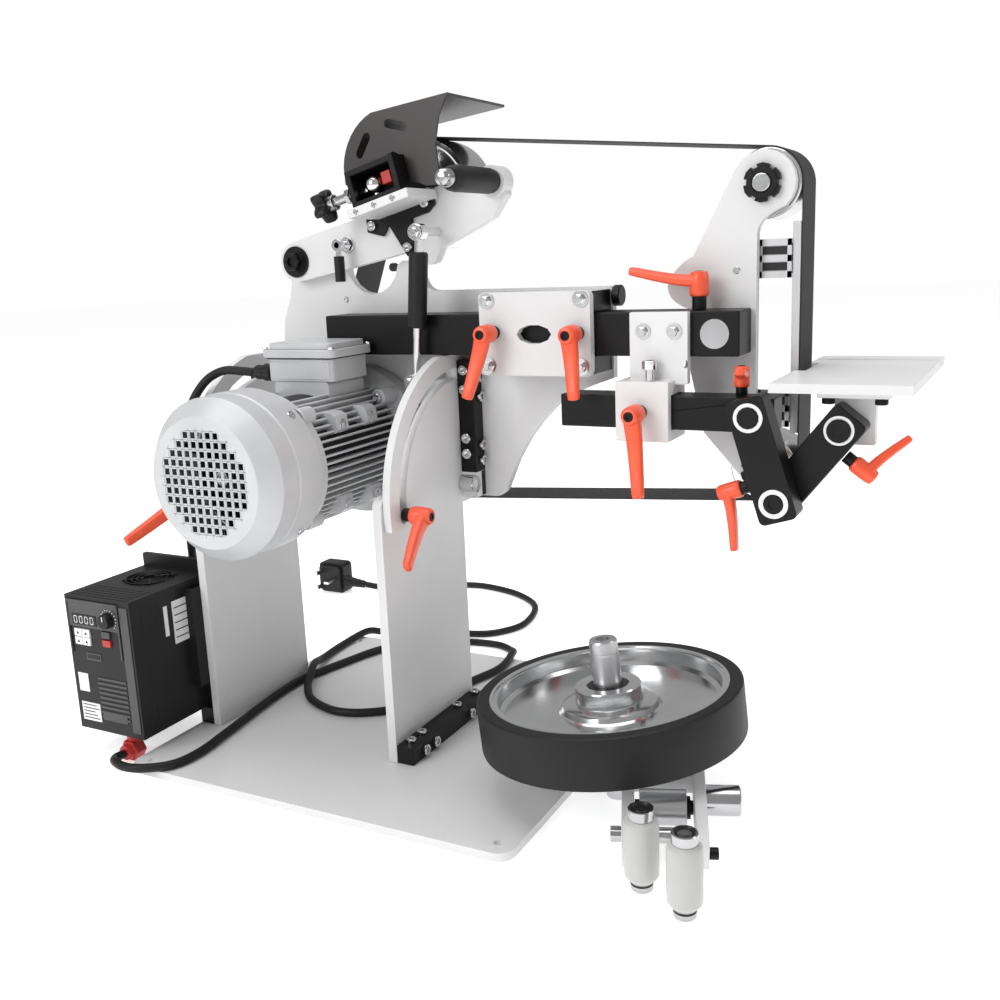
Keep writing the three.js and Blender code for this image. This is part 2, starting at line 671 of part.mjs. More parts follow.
function platenBar() {
  const x1 = PLATEN.barFace;
  const x0 = x1 - PLATEN.barThick;
  const y0 = BELT.front + 1;
  const y1 = BELT.front + BELT.width - 1;
  const low = IDLER_LOW.z + IDLER_LOW.radius + 3;
  const high = IDLER_TOP.z - IDLER_TOP.radius - 3;
  const plateBack = PLATEN.front + PLATEN.thick + 2 * GAP;
  const pieces = [box(x0, x1, y0, y1, low, high)];
  for (const z of [345, 479]) {
    pieces.push(box(324, x0 + 1, plateBack + 4, plateBack + 9, z - 13, z + 13));
    pieces.push(box(324, 345, plateBack, plateBack + 5, z - 13, z + 13));
    pieces.push(box(x0 - 6, x0 + 1, plateBack + 4, plateBack + 40, z - 13, z + 13));
  }
  return join(...pieces);
}

// ---- work rest ----------------------------------------------------------------------------

function restBracket() {
  const { left, right, front, back, bottom, top } = REST_BLOCK;
  const y1 = ARM_FRONT - GAP;
  const hanger = box(left + 8, right + 12, y1 - 8, y1, top - 4, ARM_TOP);
  const block = box(left, right, front, back, bottom, top);
  const low = REST_BAR.bottom - GAP;
  const high = REST_BAR.bottom + 30 + GAP;
  const window4 = box(left - 1, right + 1, REST_BAR.front - GAP, REST_BAR.back + GAP, low, high);
  return cut(join(hanger, block), window4);
}

function restBar() {
  const { left, right, front, back, bottom } = REST_BAR;
  const high = bottom + 30;
  const pin = rodY(ELBOW_A.x, ELBOW_A.z, LINK_A_FRONT - 2, front + 4, LINK.bore - GAP, 14);
  return join(box(left, right, front, back, bottom, high), pin);
}

// A bar with square ends a little past its two pins, and rounded corners.
function linkOutline(from, to) {
  const { half, corner } = LINK;
  const heading = Math.atan2(to.z - from.z, to.x - from.x);
  const length = Math.hypot(to.x - from.x, to.z - from.z);
  const shape = new THREE.Shape();
  const corners = [[length + half, -half], [length + half, half], [-half, half], [-half, -half]];
  corners.forEach(([along, across], k) => {
    const u = along - Math.sign(along) * corner;
    const v = across - Math.sign(across) * corner;
    const x = from.x + u * Math.cos(heading) - v * Math.sin(heading);
    const z = from.z + u * Math.sin(heading) + v * Math.cos(heading);
    const start = heading + (k - 1) * Math.PI / 2;
    shape.absarc(x, z, corner, start, start + Math.PI / 2);
  });
  return shape;
}

function link(from, to, front, extra = []) {
  const plate = plateXZ(linkOutline(from, to), front, front + LINK.thick, 4);
  return join(plate, ...extra);
}

function restArmLower() {
  const bore = rodY(ELBOW_A.x, ELBOW_A.z, LINK_A_FRONT - 3, LINK_A_FRONT + 60, LINK.bore, 14);
  const back = LINK_A_FRONT + LINK.thick;
  const pin = rodY(ELBOW_B.x, ELBOW_B.z, back - 2, LINK_B_FRONT + LINK.thick + 3, LINK.bore - GAP, 14);
  return cut(link(ELBOW_A, ELBOW_B, LINK_A_FRONT, [pin]), bore);
}

function restArmUpper() {
  const boreB = rodY(ELBOW_B.x, ELBOW_B.z, LINK_B_FRONT - 3, LINK_B_FRONT + 60, LINK.bore, 14);
  const boreC = rodY(ELBOW_C.x, ELBOW_C.z, LINK_B_FRONT - 3, LINK_B_FRONT + 60, LINK.bore, 14);
  return cut(link(ELBOW_B, ELBOW_C, LINK_B_FRONT), boreB, boreC);
}

function workTable() {
  const { left, right, front, back, top, thick } = TABLE;
  const outline = new THREE.Shape();
  outline.moveTo(left, front);
  for (const [x, y] of [[right, front], [right, back], [left, back], [left, 137], [left + 10, 137]]) {
    outline.lineTo(x, y);
  }
  outline.lineTo(left + 10, 73);
  outline.lineTo(left, 73);
  const board = plateXY(outline, top - thick, top, 1);
  const groove = box(left - 1, right + 1, 168, 176, top - 3, top + 1);
  const low = top - thick;
  const flange = box(413, 472, 14, 72, low - 8, low + 1);
  const webFront = LINK_B_FRONT + LINK.thick + 1;
  const web = box(424, 458, webFront, webFront + 12, 322, low - 7);
  const pin = rodY(ELBOW_C.x, ELBOW_C.z, LINK_B_FRONT - 2, webFront + 2, LINK.bore - GAP, 14);
  return join(cut(board, groove), flange, web, pin);
}

// ---- clamp levers -------------------------------------------------------------------------

// A ratchet clamp lever: threaded stud, moulded hub and a tapering handle.
// at is the stud's foot, axis points out of the machine, reach is the handle's direction,
// shank is the length of thinner stud that passes through a slot under the foot.
function clampLever({ at, axis, reach, length, stud = 9, hub = 22, scale = 1, shank = 0 }) {
  const out = point(...axis).normalize();
  const along = point(...reach);
  along.addScaledVector(out, -along.dot(out)).normalize();
  const place = (up, forward) => point(...at).addScaledVector(out, up).addScaledVector(along, forward);
  const studRod = rod(place(GAP, 0), place(stud + 1, 0), 6.5 * scale, 8);
  const hubRod = rod(place(stud, 0), place(stud + hub, 0), 9 * scale, 10, 8 * scale);
  const root = place(stud + hub * 0.62, 0);
  const tip = place(stud + hub * 0.62 + length * 0.16, length);
  const handle = rod(root, tip, 6.6 * scale, 8, 4.2 * scale);
  if (shank === 0) return join(studRod, hubRod, handle);
  return join(studRod, hubRod, handle, rod(place(-shank, 0), place(stud, 0), 4.5, 8));
}

const SECTOR_FACE_RIGHT = UPRIGHT_RIGHT + UPRIGHT.thick + 0.4 + SECTOR.thick;
const SECTOR_FACE_LEFT = UPRIGHT_LEFT - UPRIGHT.thick - 0.4 - SECTOR.thick;
const LOCK = { y: PIVOT.y - 114.8, z: 255 };

const LINK_DIRECTION_A = point(ELBOW_B.x - ELBOW_A.x, 0, ELBOW_B.z - ELBOW_A.z).normalize();
const LINK_DIRECTION_B = point(ELBOW_C.x - ELBOW_B.x, 0, ELBOW_C.z - ELBOW_B.z).normalize();

// The foot of a clamp stud on the lower right or left side of a link.
function besideLink(elbow, direction, back, front, side) {
  return [
    elbow.x - back * direction.x + side * LINK.half * direction.z,
    front + LINK.thick / 2,
    elbow.z - back * direction.z - side * LINK.half * direction.x,
  ];
}

const LEVERS = {
  lever_tilt_right: {
    at: [SECTOR_FACE_RIGHT, LOCK.y, LOCK.z], axis: [1, 0, 0], reach: [0, -50, -36], length: 62,
    shank: SECTOR.thick,
  },
  lever_tilt_left: {
    at: [SECTOR_FACE_LEFT, LOCK.y, LOCK.z], axis: [-1, 0, 0], reach: [0, -80, -34], length: 84,
    shank: SECTOR.thick,
  },
  lever_receiver_near: {
    at: [110, RECEIVER.front, 420], axis: [0, -1, 0], reach: [-16, 0, -62], length: 62,
  },
  lever_receiver_far: {
    at: [197, RECEIVER.front, 419], axis: [0, -1, 0], reach: [8, 0, -58], length: 58,
  },
  lever_platen: {
    at: [302, 46, ARM_TOP], axis: [0, 0, 1], reach: [-64, -4, 0], length: 64, stud: 12,
  },
  lever_rest_slide: {
    at: [262, REST_BLOCK.front, 350], axis: [0, -1, 0], reach: [10, 0, -74], length: 72,
  },
  lever_rest_shoulder: {
    at: [347, 24, REST_BAR.bottom + 30], axis: [0, 0, 1], reach: [6, -30, 0], length: 30,
    stud: 8, hub: 18, scale: 0.8,
  },
  lever_rest_elbow: {
    at: besideLink(ELBOW_B, LINK_DIRECTION_A, 18, LINK_A_FRONT, 1),
    axis: [LINK_DIRECTION_A.z, 0, -LINK_DIRECTION_A.x], reach: [6, -2, -54], length: 52, scale: 0.85,
  },
  lever_rest_table: {
    at: besideLink(ELBOW_C, LINK_DIRECTION_B, 16, LINK_B_FRONT, 1),
    axis: [LINK_DIRECTION_B.z, 0, -LINK_DIRECTION_B.x], reach: [28, 20, 24], length: 46, scale: 0.85,
  },
};

// ---- inverter and its leads ---------------------------------------------------------------

const FAN_Y = INVERTER.back - 42;
const KNOB = { x: INVERTER.right - 29.5, z: INVERTER.top - 21 };
const KEYPAD = keyArea(10, 31, 52, 35);
const KEY_RUN = keyArea(49, 60, 41, 34);
const KEY_STOP = keyArea(49, 60, 50, 43);

// A rectangle of the front, measured from its left edge and down from its top.
function keyArea(left, right, low, high) {
  const { left: x, top: z } = INVERTER;
  return { x0: x + left, x1: x + right, z0: z - low, z1: z - high };
}

function inverterHousing() {
  const { left, right, front, back, bottom, top } = INVERTER;
  const body = box(left, right, front, back, bottom, top);
  const middle = (left + right) / 2;
  const flange = box(left, right, back - 6, back, top - 1, top + 14);
  const well = rod(point(middle, FAN_Y, top - 14), point(middle, FAN_Y, top + 1), 26, 20);
  const knobWell = rod(point(KNOB.x, front - 1, KNOB.z), point(KNOB.x, front + 3, KNOB.z), 6.5, 14);
  const side = UPRIGHT_LEFT - UPRIGHT.thick - GAP;
  const arm = box(right - 1, side, back - 40, back - 36, bottom + 30, top - 8);
  const foot = box(side - 3, side, back - 40, back - 4, bottom + 30, top - 8);
  const room = 0.5;
  const keyWell = ({ x0, x1, z0, z1 }) => {
    return box(x0 - room, x1 + room, front - 1, front + 3, z0 - room, z1 + room);
  };
  const wells = [KEYPAD, KEY_RUN, KEY_STOP].map(keyWell);
  return cut(join(body, flange, arm, foot), well, knobWell, ...wells);
}

function inverterFan() {
  const middle = (INVERTER.left + INVERTER.right) / 2;
  const z = INVERTER.top - 11;
  const pieces = [rod(point(middle, FAN_Y, z), point(middle, FAN_Y, z + 8), 9, 14)];
  for (let blade = 0; blade < 5; blade += 1) {
    const vane = new THREE.BoxGeometry(17, 9, 1.6).rotateX(0.5).translate(15, 0, 4);
    vane.rotateZ((blade / 5) * 2 * Math.PI);
    pieces.push(vane.translate(middle, FAN_Y, z));
  }
  return join(...pieces);
}

function inverterKnob() {
  const at = (y) => point(KNOB.x, y, KNOB.z);
  const { front } = INVERTER;
  return join(rod(at(front + 2), at(front - 3), 5.8, 14), rod(at(front - 1), at(front - 9), 8, 16, 7));
}

// A press key standing 2 mm proud of the front.
function key({ x0, x1, z0, z1 }) {
  return box(x0, x1, INVERTER.front - 2, INVERTER.front + 2, z0, z1);
}

// Four white keys on one backing, two over two.
function keypad() {
  const { front } = INVERTER;
  const { x0, x1, z0, z1 } = KEYPAD;
  const middleX = (x0 + x1) / 2;
  const middleZ = (z0 + z1) / 2;
  const pieces = [box(x0, x1, front + 0.4, front + 2, z0, z1)];
  for (const [u0, u1] of [[x0, middleX - 0.5], [middleX + 0.5, x1]]) {
    for (const [v0, v1] of [[z0, middleZ - 0.5], [middleZ + 0.5, z1]]) {
      pieces.push(box(u0, u1, front - 1.5, front + 1, v0, v1));
    }
  }
  return join(...pieces);
}

const GLAND = { x: -233, z: 18 };

function mainsGland() {
  const { x, z } = GLAND;
  const y = INVERTER.front;
  const neck = rod(point(x, y + 12, z - 6), point(x, y + 12, INVERTER.bottom - GAP), 8, 12);
  const nut = box(x - 12, x + 12, y - 4, y + 20, 1.5, z - 1);
  return join(neck, nut);
}

// Mains lead: out of the gland, over the corner of the base, along the inside of the left
// upright, one loop off the back of the base, one loop across its middle and over itself,
// then out behind to the plug on the floor.
const LEAD = { diameter: 9, steps: 78 };
const LEAD_ROUTE = [
  [-233, -187.4, 9.5], [-233, -198, 10], [-222, -208, 12.5], [-203, -213, 13], [-182, -207, 13],
  [-162, -188, 12.8], [-157, -156, 12.8], [-163, -110, 12.8], [-170, -64, 12.8], [-177, -10, 12.8],
  [-179, 36, 12.8], [-173, 66, 12.8], [-165, 97, 12.8], [-147, 155, 12.8], [-118, 190, 12.8],
  [-96, 209, 12.6], [-76, 229, 7.5], [-52, 242, 4.9], [-22, 243, 4.9], [3, 228, 6.5], [16, 205, 13],
  [24, 157, 12.8], [12, 109, 12.8], [-6, 44, 12.8], [-38, -1, 12.8], [-82, -21, 12.8], [-128, -7, 12.8],
  [-156, 20, 14.5], [-169, 45, 21.5], [-181, 68, 22.5], [-193, 98, 15], [-201, 142, 12.8],
  [-201, 205, 13], [-190, 228, 7], [-170, 246, 4.9], [-143, 258, 4.9], [-78, 267, 4.9], [-46, 285, 4.9],
  [-28, 328, 4.9], [-45, 397, 4.9], [-90, 438, 4.9], [-146, 457, 4.9], [-188, 455, 4.9],
  [-254, 426, 4.9], [-298, 398, 6.3], [-323.6, 384.2, 11.9],
];

const PLUG = { left: -392, right: -350, front: 358, back: 386, bottom: 1, top: 47, exitZ: 20 };

// A moulded three-pin plug standing on its edge, pins to the front, lead out of its right side.
function mainsPlug() {
  const { left, right, front, back, bottom, top, exitZ } = PLUG;
  const relief = rod(point(right - 2, 371, exitZ), point(-324, 384, 12), 8.5, 12, 5.4);
  const body = box(left, right, front, back, bottom, top);
  const middle = (bottom + top) / 2;
  const pins = [
    box(left + 7, left + 11, front - 17, front + 1, middle - 14, middle - 8),
    box(left + 7, left + 11, front - 17, front + 1, middle + 8, middle + 14),
    box(right - 16, right - 8, front - 22, front + 1, middle - 2, middle + 2),
  ];
  return join(relief, body, ...pins);
}

// Motor lead: out of the terminal box, down behind the inverter and into its back.
const MOTOR_LEAD_ROUTE = [
  [-145, -36, 384.4], [-160, -36.5, 385.5], [-182, -42, 386], [-200, -52, 374], [-214, -62, 346],
  [-228, -55, 306], [-240, -46, 266], [-246, -44, 230], [-250, -44, 200], [-251, -42, 160],
  [-251, -40, 100], [-251, -38, 72], [-251, -45, 52], [-251, -57, 44], [-251, -65.2, 44],
];

function motorCable() {
  return cordAlong(MOTOR_LEAD_ROUTE, 9, 26);
}

// ---- loose tooling ------------------------------------------------------------------------

const CONTACT = { x: 250, y: -54, z: 85, radius: 121, width: 46, lean: [-0.1, 0, 1] };

function tiltedContact(geometry) {
  const lean = point(...CONTACT.lean).normalize();
  const turn = new THREE.Quaternion().setFromUnitVectors(point(0, 0, 1), lean);
  return geometry.applyQuaternion(turn).translate(CONTACT.x, CONTACT.y, CONTACT.z);
}

function latheZ(profile, sides) {
  const points = profile.map(([r, h]) => new THREE.Vector2(r, h));
  return new THREE.LatheGeometry(points, sides).rotateX(Math.PI / 2);
}

function contactTyre() {
  const half = CONTACT.width / 2;
  const { radius } = CONTACT;
  return tiltedContact(latheZ([
    [radius - 12, -half], [radius - 1, -half], [radius, -half + 2], [radius, half - 2],
    [radius - 1, half], [radius - 12, half], [radius - 12, -half],
  ], 28));
}

function contactHub() {
  const half = CONTACT.width / 2;
  const rim = CONTACT.radius - 12 - GAP;
  return tiltedContact(latheZ([
    [13.4, -half + 4], [34, -half + 4], [34, -half + 12], [rim - 12, -half + 16], [rim - 8, -half],
    [rim, -half], [rim, half], [rim - 8, half], [rim - 12, 8], [45, 3], [43, 8], [31, 10],
    [29.5, half + 2], [13.4, half + 2], [13.4, -half + 4],
  ], 28));
}

function contactShaft() {
  return tiltedContact(rod(point(0, 0, 1.5 - CONTACT.z), point(0, 0, 67), 13, 20));
}

// The small-wheel holder lies on the floor at its front edge and leans up under the big wheel.
const HOLDER = { x: 336, y: -156, turn: 0.35, rise: 0.33, length: 100, depth: 33, reach: 30, thick: 10 };

// Local axes: X across the holder, Y along its plates, Z out of them.
function placeHolder(geometry) {
  return geometry.rotateX(HOLDER.rise).rotateZ(HOLDER.turn).translate(HOLDER.x, HOLDER.y, 0.2);
}

function acrossRod(x0, x1, y, z, radius, sides) {
  return rod(point(x0, y, z), point(x1, y, z), radius, sides);
}

function holderFork() {
  const { reach, thick, length, depth } = HOLDER;
  const pieces = [-1, 1].map((side) => {
    const middle = side * reach;
    return box(middle - thick / 2, middle + thick / 2, 0, length, 0, depth);
  });
  pieces.push(box(-reach, reach, length - 22, length - 8, 6, depth - 6));
  pieces.push(acrossRod(reach, reach + 34, 62, 16, 13, 20));
  pieces.push(acrossRod(-reach - 14, reach, 20, 19, 6.5, 14));
  pieces.push(acrossRod(reach, reach + 13, 9, 12, 5, 6));
  return placeHolder(join(...pieces));
}

function holderRoller() {
  const inside = HOLDER.reach - HOLDER.thick / 2 - GAP;
  return placeHolder(join(
    acrossRod(-inside, inside, 52, 17, 6, 12), acrossRod(-inside + 4, inside - 6, 52, 17, 15, 20),
  ));
}

// A narrow contact roller standing on end: moulded body with a metal hub out of each end.
function spareRoller(x, y) {
  const profile = [
    [0, 0], [9, 0], [9, 8], [14, 13], [14, 57], [10.5, 62], [10.5, 70], [0, 70],
  ];
  return latheZ(profile, 14).translate(x, y, 0);
}

// ---- assembly -----------------------------------------------------------------------------

add("base_plate", basePlate(), COLOUR.paint, 0.5, 0.1);
add("upright_right", upright(1), COLOUR.paint, 0.5, 0.1);
add("upright_left", upright(-1), COLOUR.paint, 0.5, 0.1);
add("sector_right", sector(1), COLOUR.paint, 0.5, 0.1);
add("sector_left", sector(-1), COLOUR.paint, 0.5, 0.1);
add("main_plate", mainPlate(), COLOUR.paint, 0.5, 0.1);
add("motor_housing", motorHousing(), COLOUR.motor, 0.45, 0.4);
add("motor_stator", motorStator(), COLOUR.copper, 0.4, 0.9);
add("motor_rotor", motorRotor(), COLOUR.steel, 0.3, 1);
add("motor_fan", motorFan(), COLOUR.black, 0.6, 0);
add("fan_cover", fanCover(), COLOUR.motor, 0.45, 0.4);
add("terminal_box", terminalBox(), COLOUR.motor, 0.45, 0.4);
add("motor_cable", motorCable(), COLOUR.black, 0.5, 0);
add("drive_wheel", driveWheel(), COLOUR.alloy, 0.3, 1);
add("idler_top", idler(IDLER_TOP), COLOUR.alloy, 0.3, 1);
add("idler_low", idler(IDLER_LOW), COLOUR.alloy, 0.3, 1);
add("abrasive_belt", abrasiveBelt(), COLOUR.belt, 0.8, 0);
add("tension_arm", tensionArm(), COLOUR.paint, 0.5, 0.1);
add("release_handle", releaseHandle(), COLOUR.rubber, 0.7, 0);
add("tracking_bracket", trackingBracket(), COLOUR.black, 0.5, 0.3);
add("tracking_axle", trackingAxle(), COLOUR.steel, 0.3, 1);
add("tracking_knob", trackingKnob(), COLOUR.black, 0.5, 0);
add("tracking_wheel", trackingWheel(), COLOUR.alloy, 0.3, 1);
add("belt_hood", beltHood(), COLOUR.bronze, 0.5, 0.5);
add("gas_spring_cylinder", gasCylinder(), COLOUR.black, 0.4, 0.3);
add("gas_spring_rod", gasRod(), COLOUR.steel, 0.2, 1);
add("receiver", receiver(), COLOUR.paint, 0.5, 0.1);
add("tool_arm", box(ARM.left, ARM.right, ARM_FRONT, ARM.back, ARM.bottom, ARM_TOP), COLOUR.black, 0.5, 0.6);
add("platen_plate", platenPlate(), COLOUR.paint, 0.5, 0.1);
add("platen_bar", platenBar(), COLOUR.steel, 0.35, 1);
add("rest_bracket", restBracket(), COLOUR.white, 0.5, 0.1);
add("rest_bar", restBar(), COLOUR.black, 0.5, 0.6);
add("rest_arm_lower", restArmLower(), COLOUR.black, 0.5, 0.6);
add("rest_arm_upper", restArmUpper(), COLOUR.black, 0.5, 0.6);
add("work_table", workTable(), COLOUR.white, 0.5, 0.1);
for (const [name, settings] of Object.entries(LEVERS)) {
  add(name, clampLever(settings), COLOUR.orange, 0.45, 0);
}
add("inverter_housing", inverterHousing(), COLOUR.grey, 0.6, 0);
add("inverter_fan", inverterFan(), COLOUR.black, 0.6, 0);
add("inverter_knob", inverterKnob(), COLOUR.black, 0.5, 0);
add("inverter_keypad", keypad(), COLOUR.white, 0.5, 0);
add("inverter_key_run", key(KEY_RUN), COLOUR.steel, 0.5, 0);
add("inverter_key_stop", key(KEY_STOP), COLOUR.red, 0.5, 0);
add("mains_gland", mainsGland(), COLOUR.red, 0.5, 0);
add("mains_lead", cordAlong(LEAD_ROUTE, LEAD.diameter, LEAD.steps), COLOUR.black, 0.5, 0);
add("mains_plug", mainsPlug(), COLOUR.black, 0.5, 0);
add("contact_tyre", contactTyre(), COLOUR.rubber, 0.7, 0);
add("contact_hub", contactHub(), COLOUR.alloy, 0.3, 1);
add("contact_shaft", contactShaft(), COLOUR.steel, 0.25, 1);
add("roller_holder", holderFork(), COLOUR.paint, 0.5, 0.1);
add("holder_roller", holderRoller(), COLOUR.rubber, 0.6, 0);
add("spare_roller_left", spareRoller(327, -186), COLOUR.white, 0.5, 0);
add("spare_roller_right", spareRoller(369, -207), COLOUR.white, 0.5, 0);

export default grinder;
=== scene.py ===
"""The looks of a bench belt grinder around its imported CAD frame, for Blender 4.5.

The shapes below are drawn in millimetres in the frame of the CAD model and turned into metres
when a piece is made. +X runs along the tool arm, +Y from the motor's fan to the drive wheel.
"""

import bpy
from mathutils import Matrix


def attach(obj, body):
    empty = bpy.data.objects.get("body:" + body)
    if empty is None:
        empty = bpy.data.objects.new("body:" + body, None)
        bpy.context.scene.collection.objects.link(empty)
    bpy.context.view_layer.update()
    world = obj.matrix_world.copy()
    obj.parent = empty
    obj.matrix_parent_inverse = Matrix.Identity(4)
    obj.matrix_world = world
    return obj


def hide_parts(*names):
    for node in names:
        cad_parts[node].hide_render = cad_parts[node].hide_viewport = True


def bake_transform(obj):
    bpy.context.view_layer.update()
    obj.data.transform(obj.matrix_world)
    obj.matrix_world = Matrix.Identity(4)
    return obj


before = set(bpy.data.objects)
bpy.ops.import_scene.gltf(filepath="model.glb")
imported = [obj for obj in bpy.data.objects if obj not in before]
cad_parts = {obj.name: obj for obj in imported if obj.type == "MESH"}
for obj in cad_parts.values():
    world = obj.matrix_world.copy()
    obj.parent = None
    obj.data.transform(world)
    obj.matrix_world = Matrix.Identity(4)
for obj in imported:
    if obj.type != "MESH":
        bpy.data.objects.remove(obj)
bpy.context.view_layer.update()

import math
from math import atan2, cos, hypot, radians, sin

import bmesh
import bpy
from mathutils import Matrix, Vector

MM = 0.001
TAU = 2 * math.pi
SCENE = bpy.context.scene

RIGHT, LEFT = (1, 0, 0), (-1, 0, 0)
BACK, FRONT = (0, 1, 0), (0, -1, 0)
UP, DOWN = (0, 0, 1), (0, 0, -1)

# ---- shapes ---------------------------------------------------------------------------------


def frame_for(axis):
    """Two unit vectors square to axis, and axis itself."""
    w = Vector(axis).normalized()
    helper = Vector(UP) if abs(w.z) < 0.9 else Vector(RIGHT)
    u = helper.cross(w).normalized()
    return u, w.cross(u), w


def arc(u, v, radius, first, last, steps):
    """Points of an arc in a plane; the angles are in degrees."""
    angles = [radians(first + (last - first) * k / steps) for k in range(steps + 1)]
    return [(u + radius * cos(a), v + radius * sin(a)) for a in angles]


def rounded(u0, u1, v0, v1, radius, steps=5):
    """A rectangle with round corners."""
    outline = arc(u0 + radius, v0 + radius, radius, 180, 270, steps)
    outline += arc(u1 - radius, v0 + radius, radius, 270, 360, steps)
    outline += arc(u1 - radius, v1 - radius, radius, 0, 90, steps)
    outline += arc(u0 + radius, v1 - radius, radius, 90, 180, steps)
    return outline


class Shape:
    """Vertices and faces in millimetres."""

    def __init__(self):
        self.points = []
        self.faces = []

    def add(self, points, faces):
        start = len(self.points)
        self.points += [Vector(p) for p in points]
        self.faces += [[start + i for i in face] for face in faces]
        return self

    def loft(self, rings, closed_ends=True):
        """Joins rings of the same number of points, in order."""
        sides = len(rings[0])
        faces = []
        for k in range(len(rings) - 1):
            a, b = k * sides, (k + 1) * sides
            for i in range(sides):
                j = (i + 1) % sides
                faces.append([a + i, a + j, b + j, b + i])
        if closed_ends:
            faces.append(list(range(sides))[::-1])
            faces.append([(len(rings) - 1) * sides + i for i in range(sides)])
        return self.add([p for ring in rings for p in ring], faces)

    def box(self, x0, x1, y0, y1, z0, z1):
        low = [(x0, y0, z0), (x1, y0, z0), (x1, y1, z0), (x0, y1, z0)]
        high = [(x, y, z1) for x, y, _ in low]
        return self.loft([low, high])

    def lathe(self, profile, base, axis, sides=40):
        """A turned shape: profile is (radius, height along axis) from base; a zero radius closes it."""
        u, v, w = frame_for(axis)
        base = Vector(base)
        rings = []
        for radius, height in profile:
            reach = max(radius, 0.01)
            ring = []
            for k in range(sides):
                a = TAU * k / sides
                ring.append(base + w * height + u * reach * cos(a) + v * reach * sin(a))
            rings.append(ring)
        return self.loft(rings, closed_ends=profile[0] != profile[-1])

    def rod(self, start, end, radius, end_radius=None, sides=28):
        """A cylinder or cone with softened ends."""
        start, end = Vector(start), Vector(end)
        length = (end - start).length
        last = radius if end_radius is None else end_radius
        soft = min(0.6, radius * 0.15, length * 0.2)
        profile = [
            (0, 0), (radius - soft, 0), (radius, soft),
            (last, length - soft), (last - soft, length), (0, length),
        ]
        return self.lathe(profile, start, end - start, sides)

    def disc(self, radius, height, base, axis, sides=28):
        """A plain cylinder with sharp ends."""
        return self.lathe([(0, 0), (radius, 0), (radius, height), (0, height)], base, axis, sides)

    def ring(self, inner, outer, low, high, base, axis, sides=28):
        """A plain washer or sleeve between two heights along axis."""
        profile = [(inner, low), (outer, low), (outer, high), (inner, high), (inner, low)]
        return self.lathe(profile, base, axis, sides)

    def prism(self, outline, plane, low, high):
        """An outline extruded across a plane: "XZ" along Y, "YZ" along X, or "XY" along Z."""
        place = {
            "XZ": lambda u, v, d: (u, d, v),
            "YZ": lambda u, v, d: (d, u, v),
            "XY": lambda u, v, d: (u, v, d),
        }[plane]
        rings = [[place(u, v, d) for u, v in outline] for d in (low, high)]
        return self.loft(rings)

    def sweep(self, path, radius, sides=16, flatten=1.0, up=UP, square=1.0):
        """A tube along points; radius is a number or one for each point.

        Below 1, flatten thins it along up, and square fills its corners.
        """
        path = [Vector(p) for p in path]
        radii = radius if isinstance(radius, (list, tuple)) else [radius] * len(path)
        rings = []
        side = None
        for k, p in enumerate(path):
            ahead = (path[min(k + 1, len(path) - 1)] - path[max(k - 1, 0)]).normalized()
            if side is None:
                guide = Vector(up) if abs(Vector(up).dot(ahead)) < 0.95 else Vector(RIGHT)
                side = guide.cross(ahead)
            side = (side - ahead * side.dot(ahead)).normalized()
            over = ahead.cross(side)
            r = radii[k]
            ring = []
            for i in range(sides):
                a = TAU * i / sides
                c, d = cos(a), sin(a)
                c, d = math.copysign(abs(c) ** square, c), math.copysign(abs(d) ** square, d)
                ring.append(p + side * r * c + over * r * flatten * d)
            rings.append(ring)
        return self.loft(rings)

    def moved(self, matrix):
        self.points = [matrix @ p for p in self.points]
        return self


def smooth_path(points, per_span=8):
    """A smooth curve through the points, which are kept."""
    points = [Vector(p) for p in points]
    ends = [2 * points[0] - points[1]] + points + [2 * points[-1] - points[-2]]
    path = []
    for k in range(1, len(ends) - 2):
        a, b, c, d = ends[k - 1 : k + 3]
        for step in range(per_span):
            t = step / per_span
            second = (2 * a - 5 * b + 4 * c - d) * t**2
            third = (3 * b - a - 3 * c + d) * t**3
            path.append(0.5 * (2 * b + (c - a) * t + second + third))
    return path + [points[-1]]


# ---- materials ------------------------------------------------------------------------------


def set_inputs(node, **values):
    """Sets sockets by name; an underscore stands for a space."""
    for name, value in values.items():
        node.inputs[name.replace("_", " ")].default_value = value


def texture(tree, scale, detail, stretch=(1, 1, 1)):
    """A noise in the object's own metres, stretched along its axes."""
    place = tree.nodes.new("ShaderNodeTexCoord")
    mapping = tree.nodes.new("ShaderNodeMapping")
    set_inputs(mapping, Scale=stretch)
    noise = tree.nodes.new("ShaderNodeTexNoise")
    set_inputs(noise, Scale=scale, Detail=detail)
    tree.links.new(place.outputs["Object"], mapping.inputs["Vector"])
    tree.links.new(mapping.outputs["Vector"], noise.inputs["Vector"])
    return noise.outputs["Fac"]


PLAIN_LOOK = {
    "shade": 0.85, "broad": 25, "grain": 1500, "stretch": (1, 1, 1), "bump": 0.15,
    "coat": 0.0, "shine": 0.5, "glow": 0.0, "spread": 0.06,
}
COAT_ROUGHNESS = 0.15
LEAST_ROUGHNESS = 0.03
BUMP_DEPTH = 0.0002


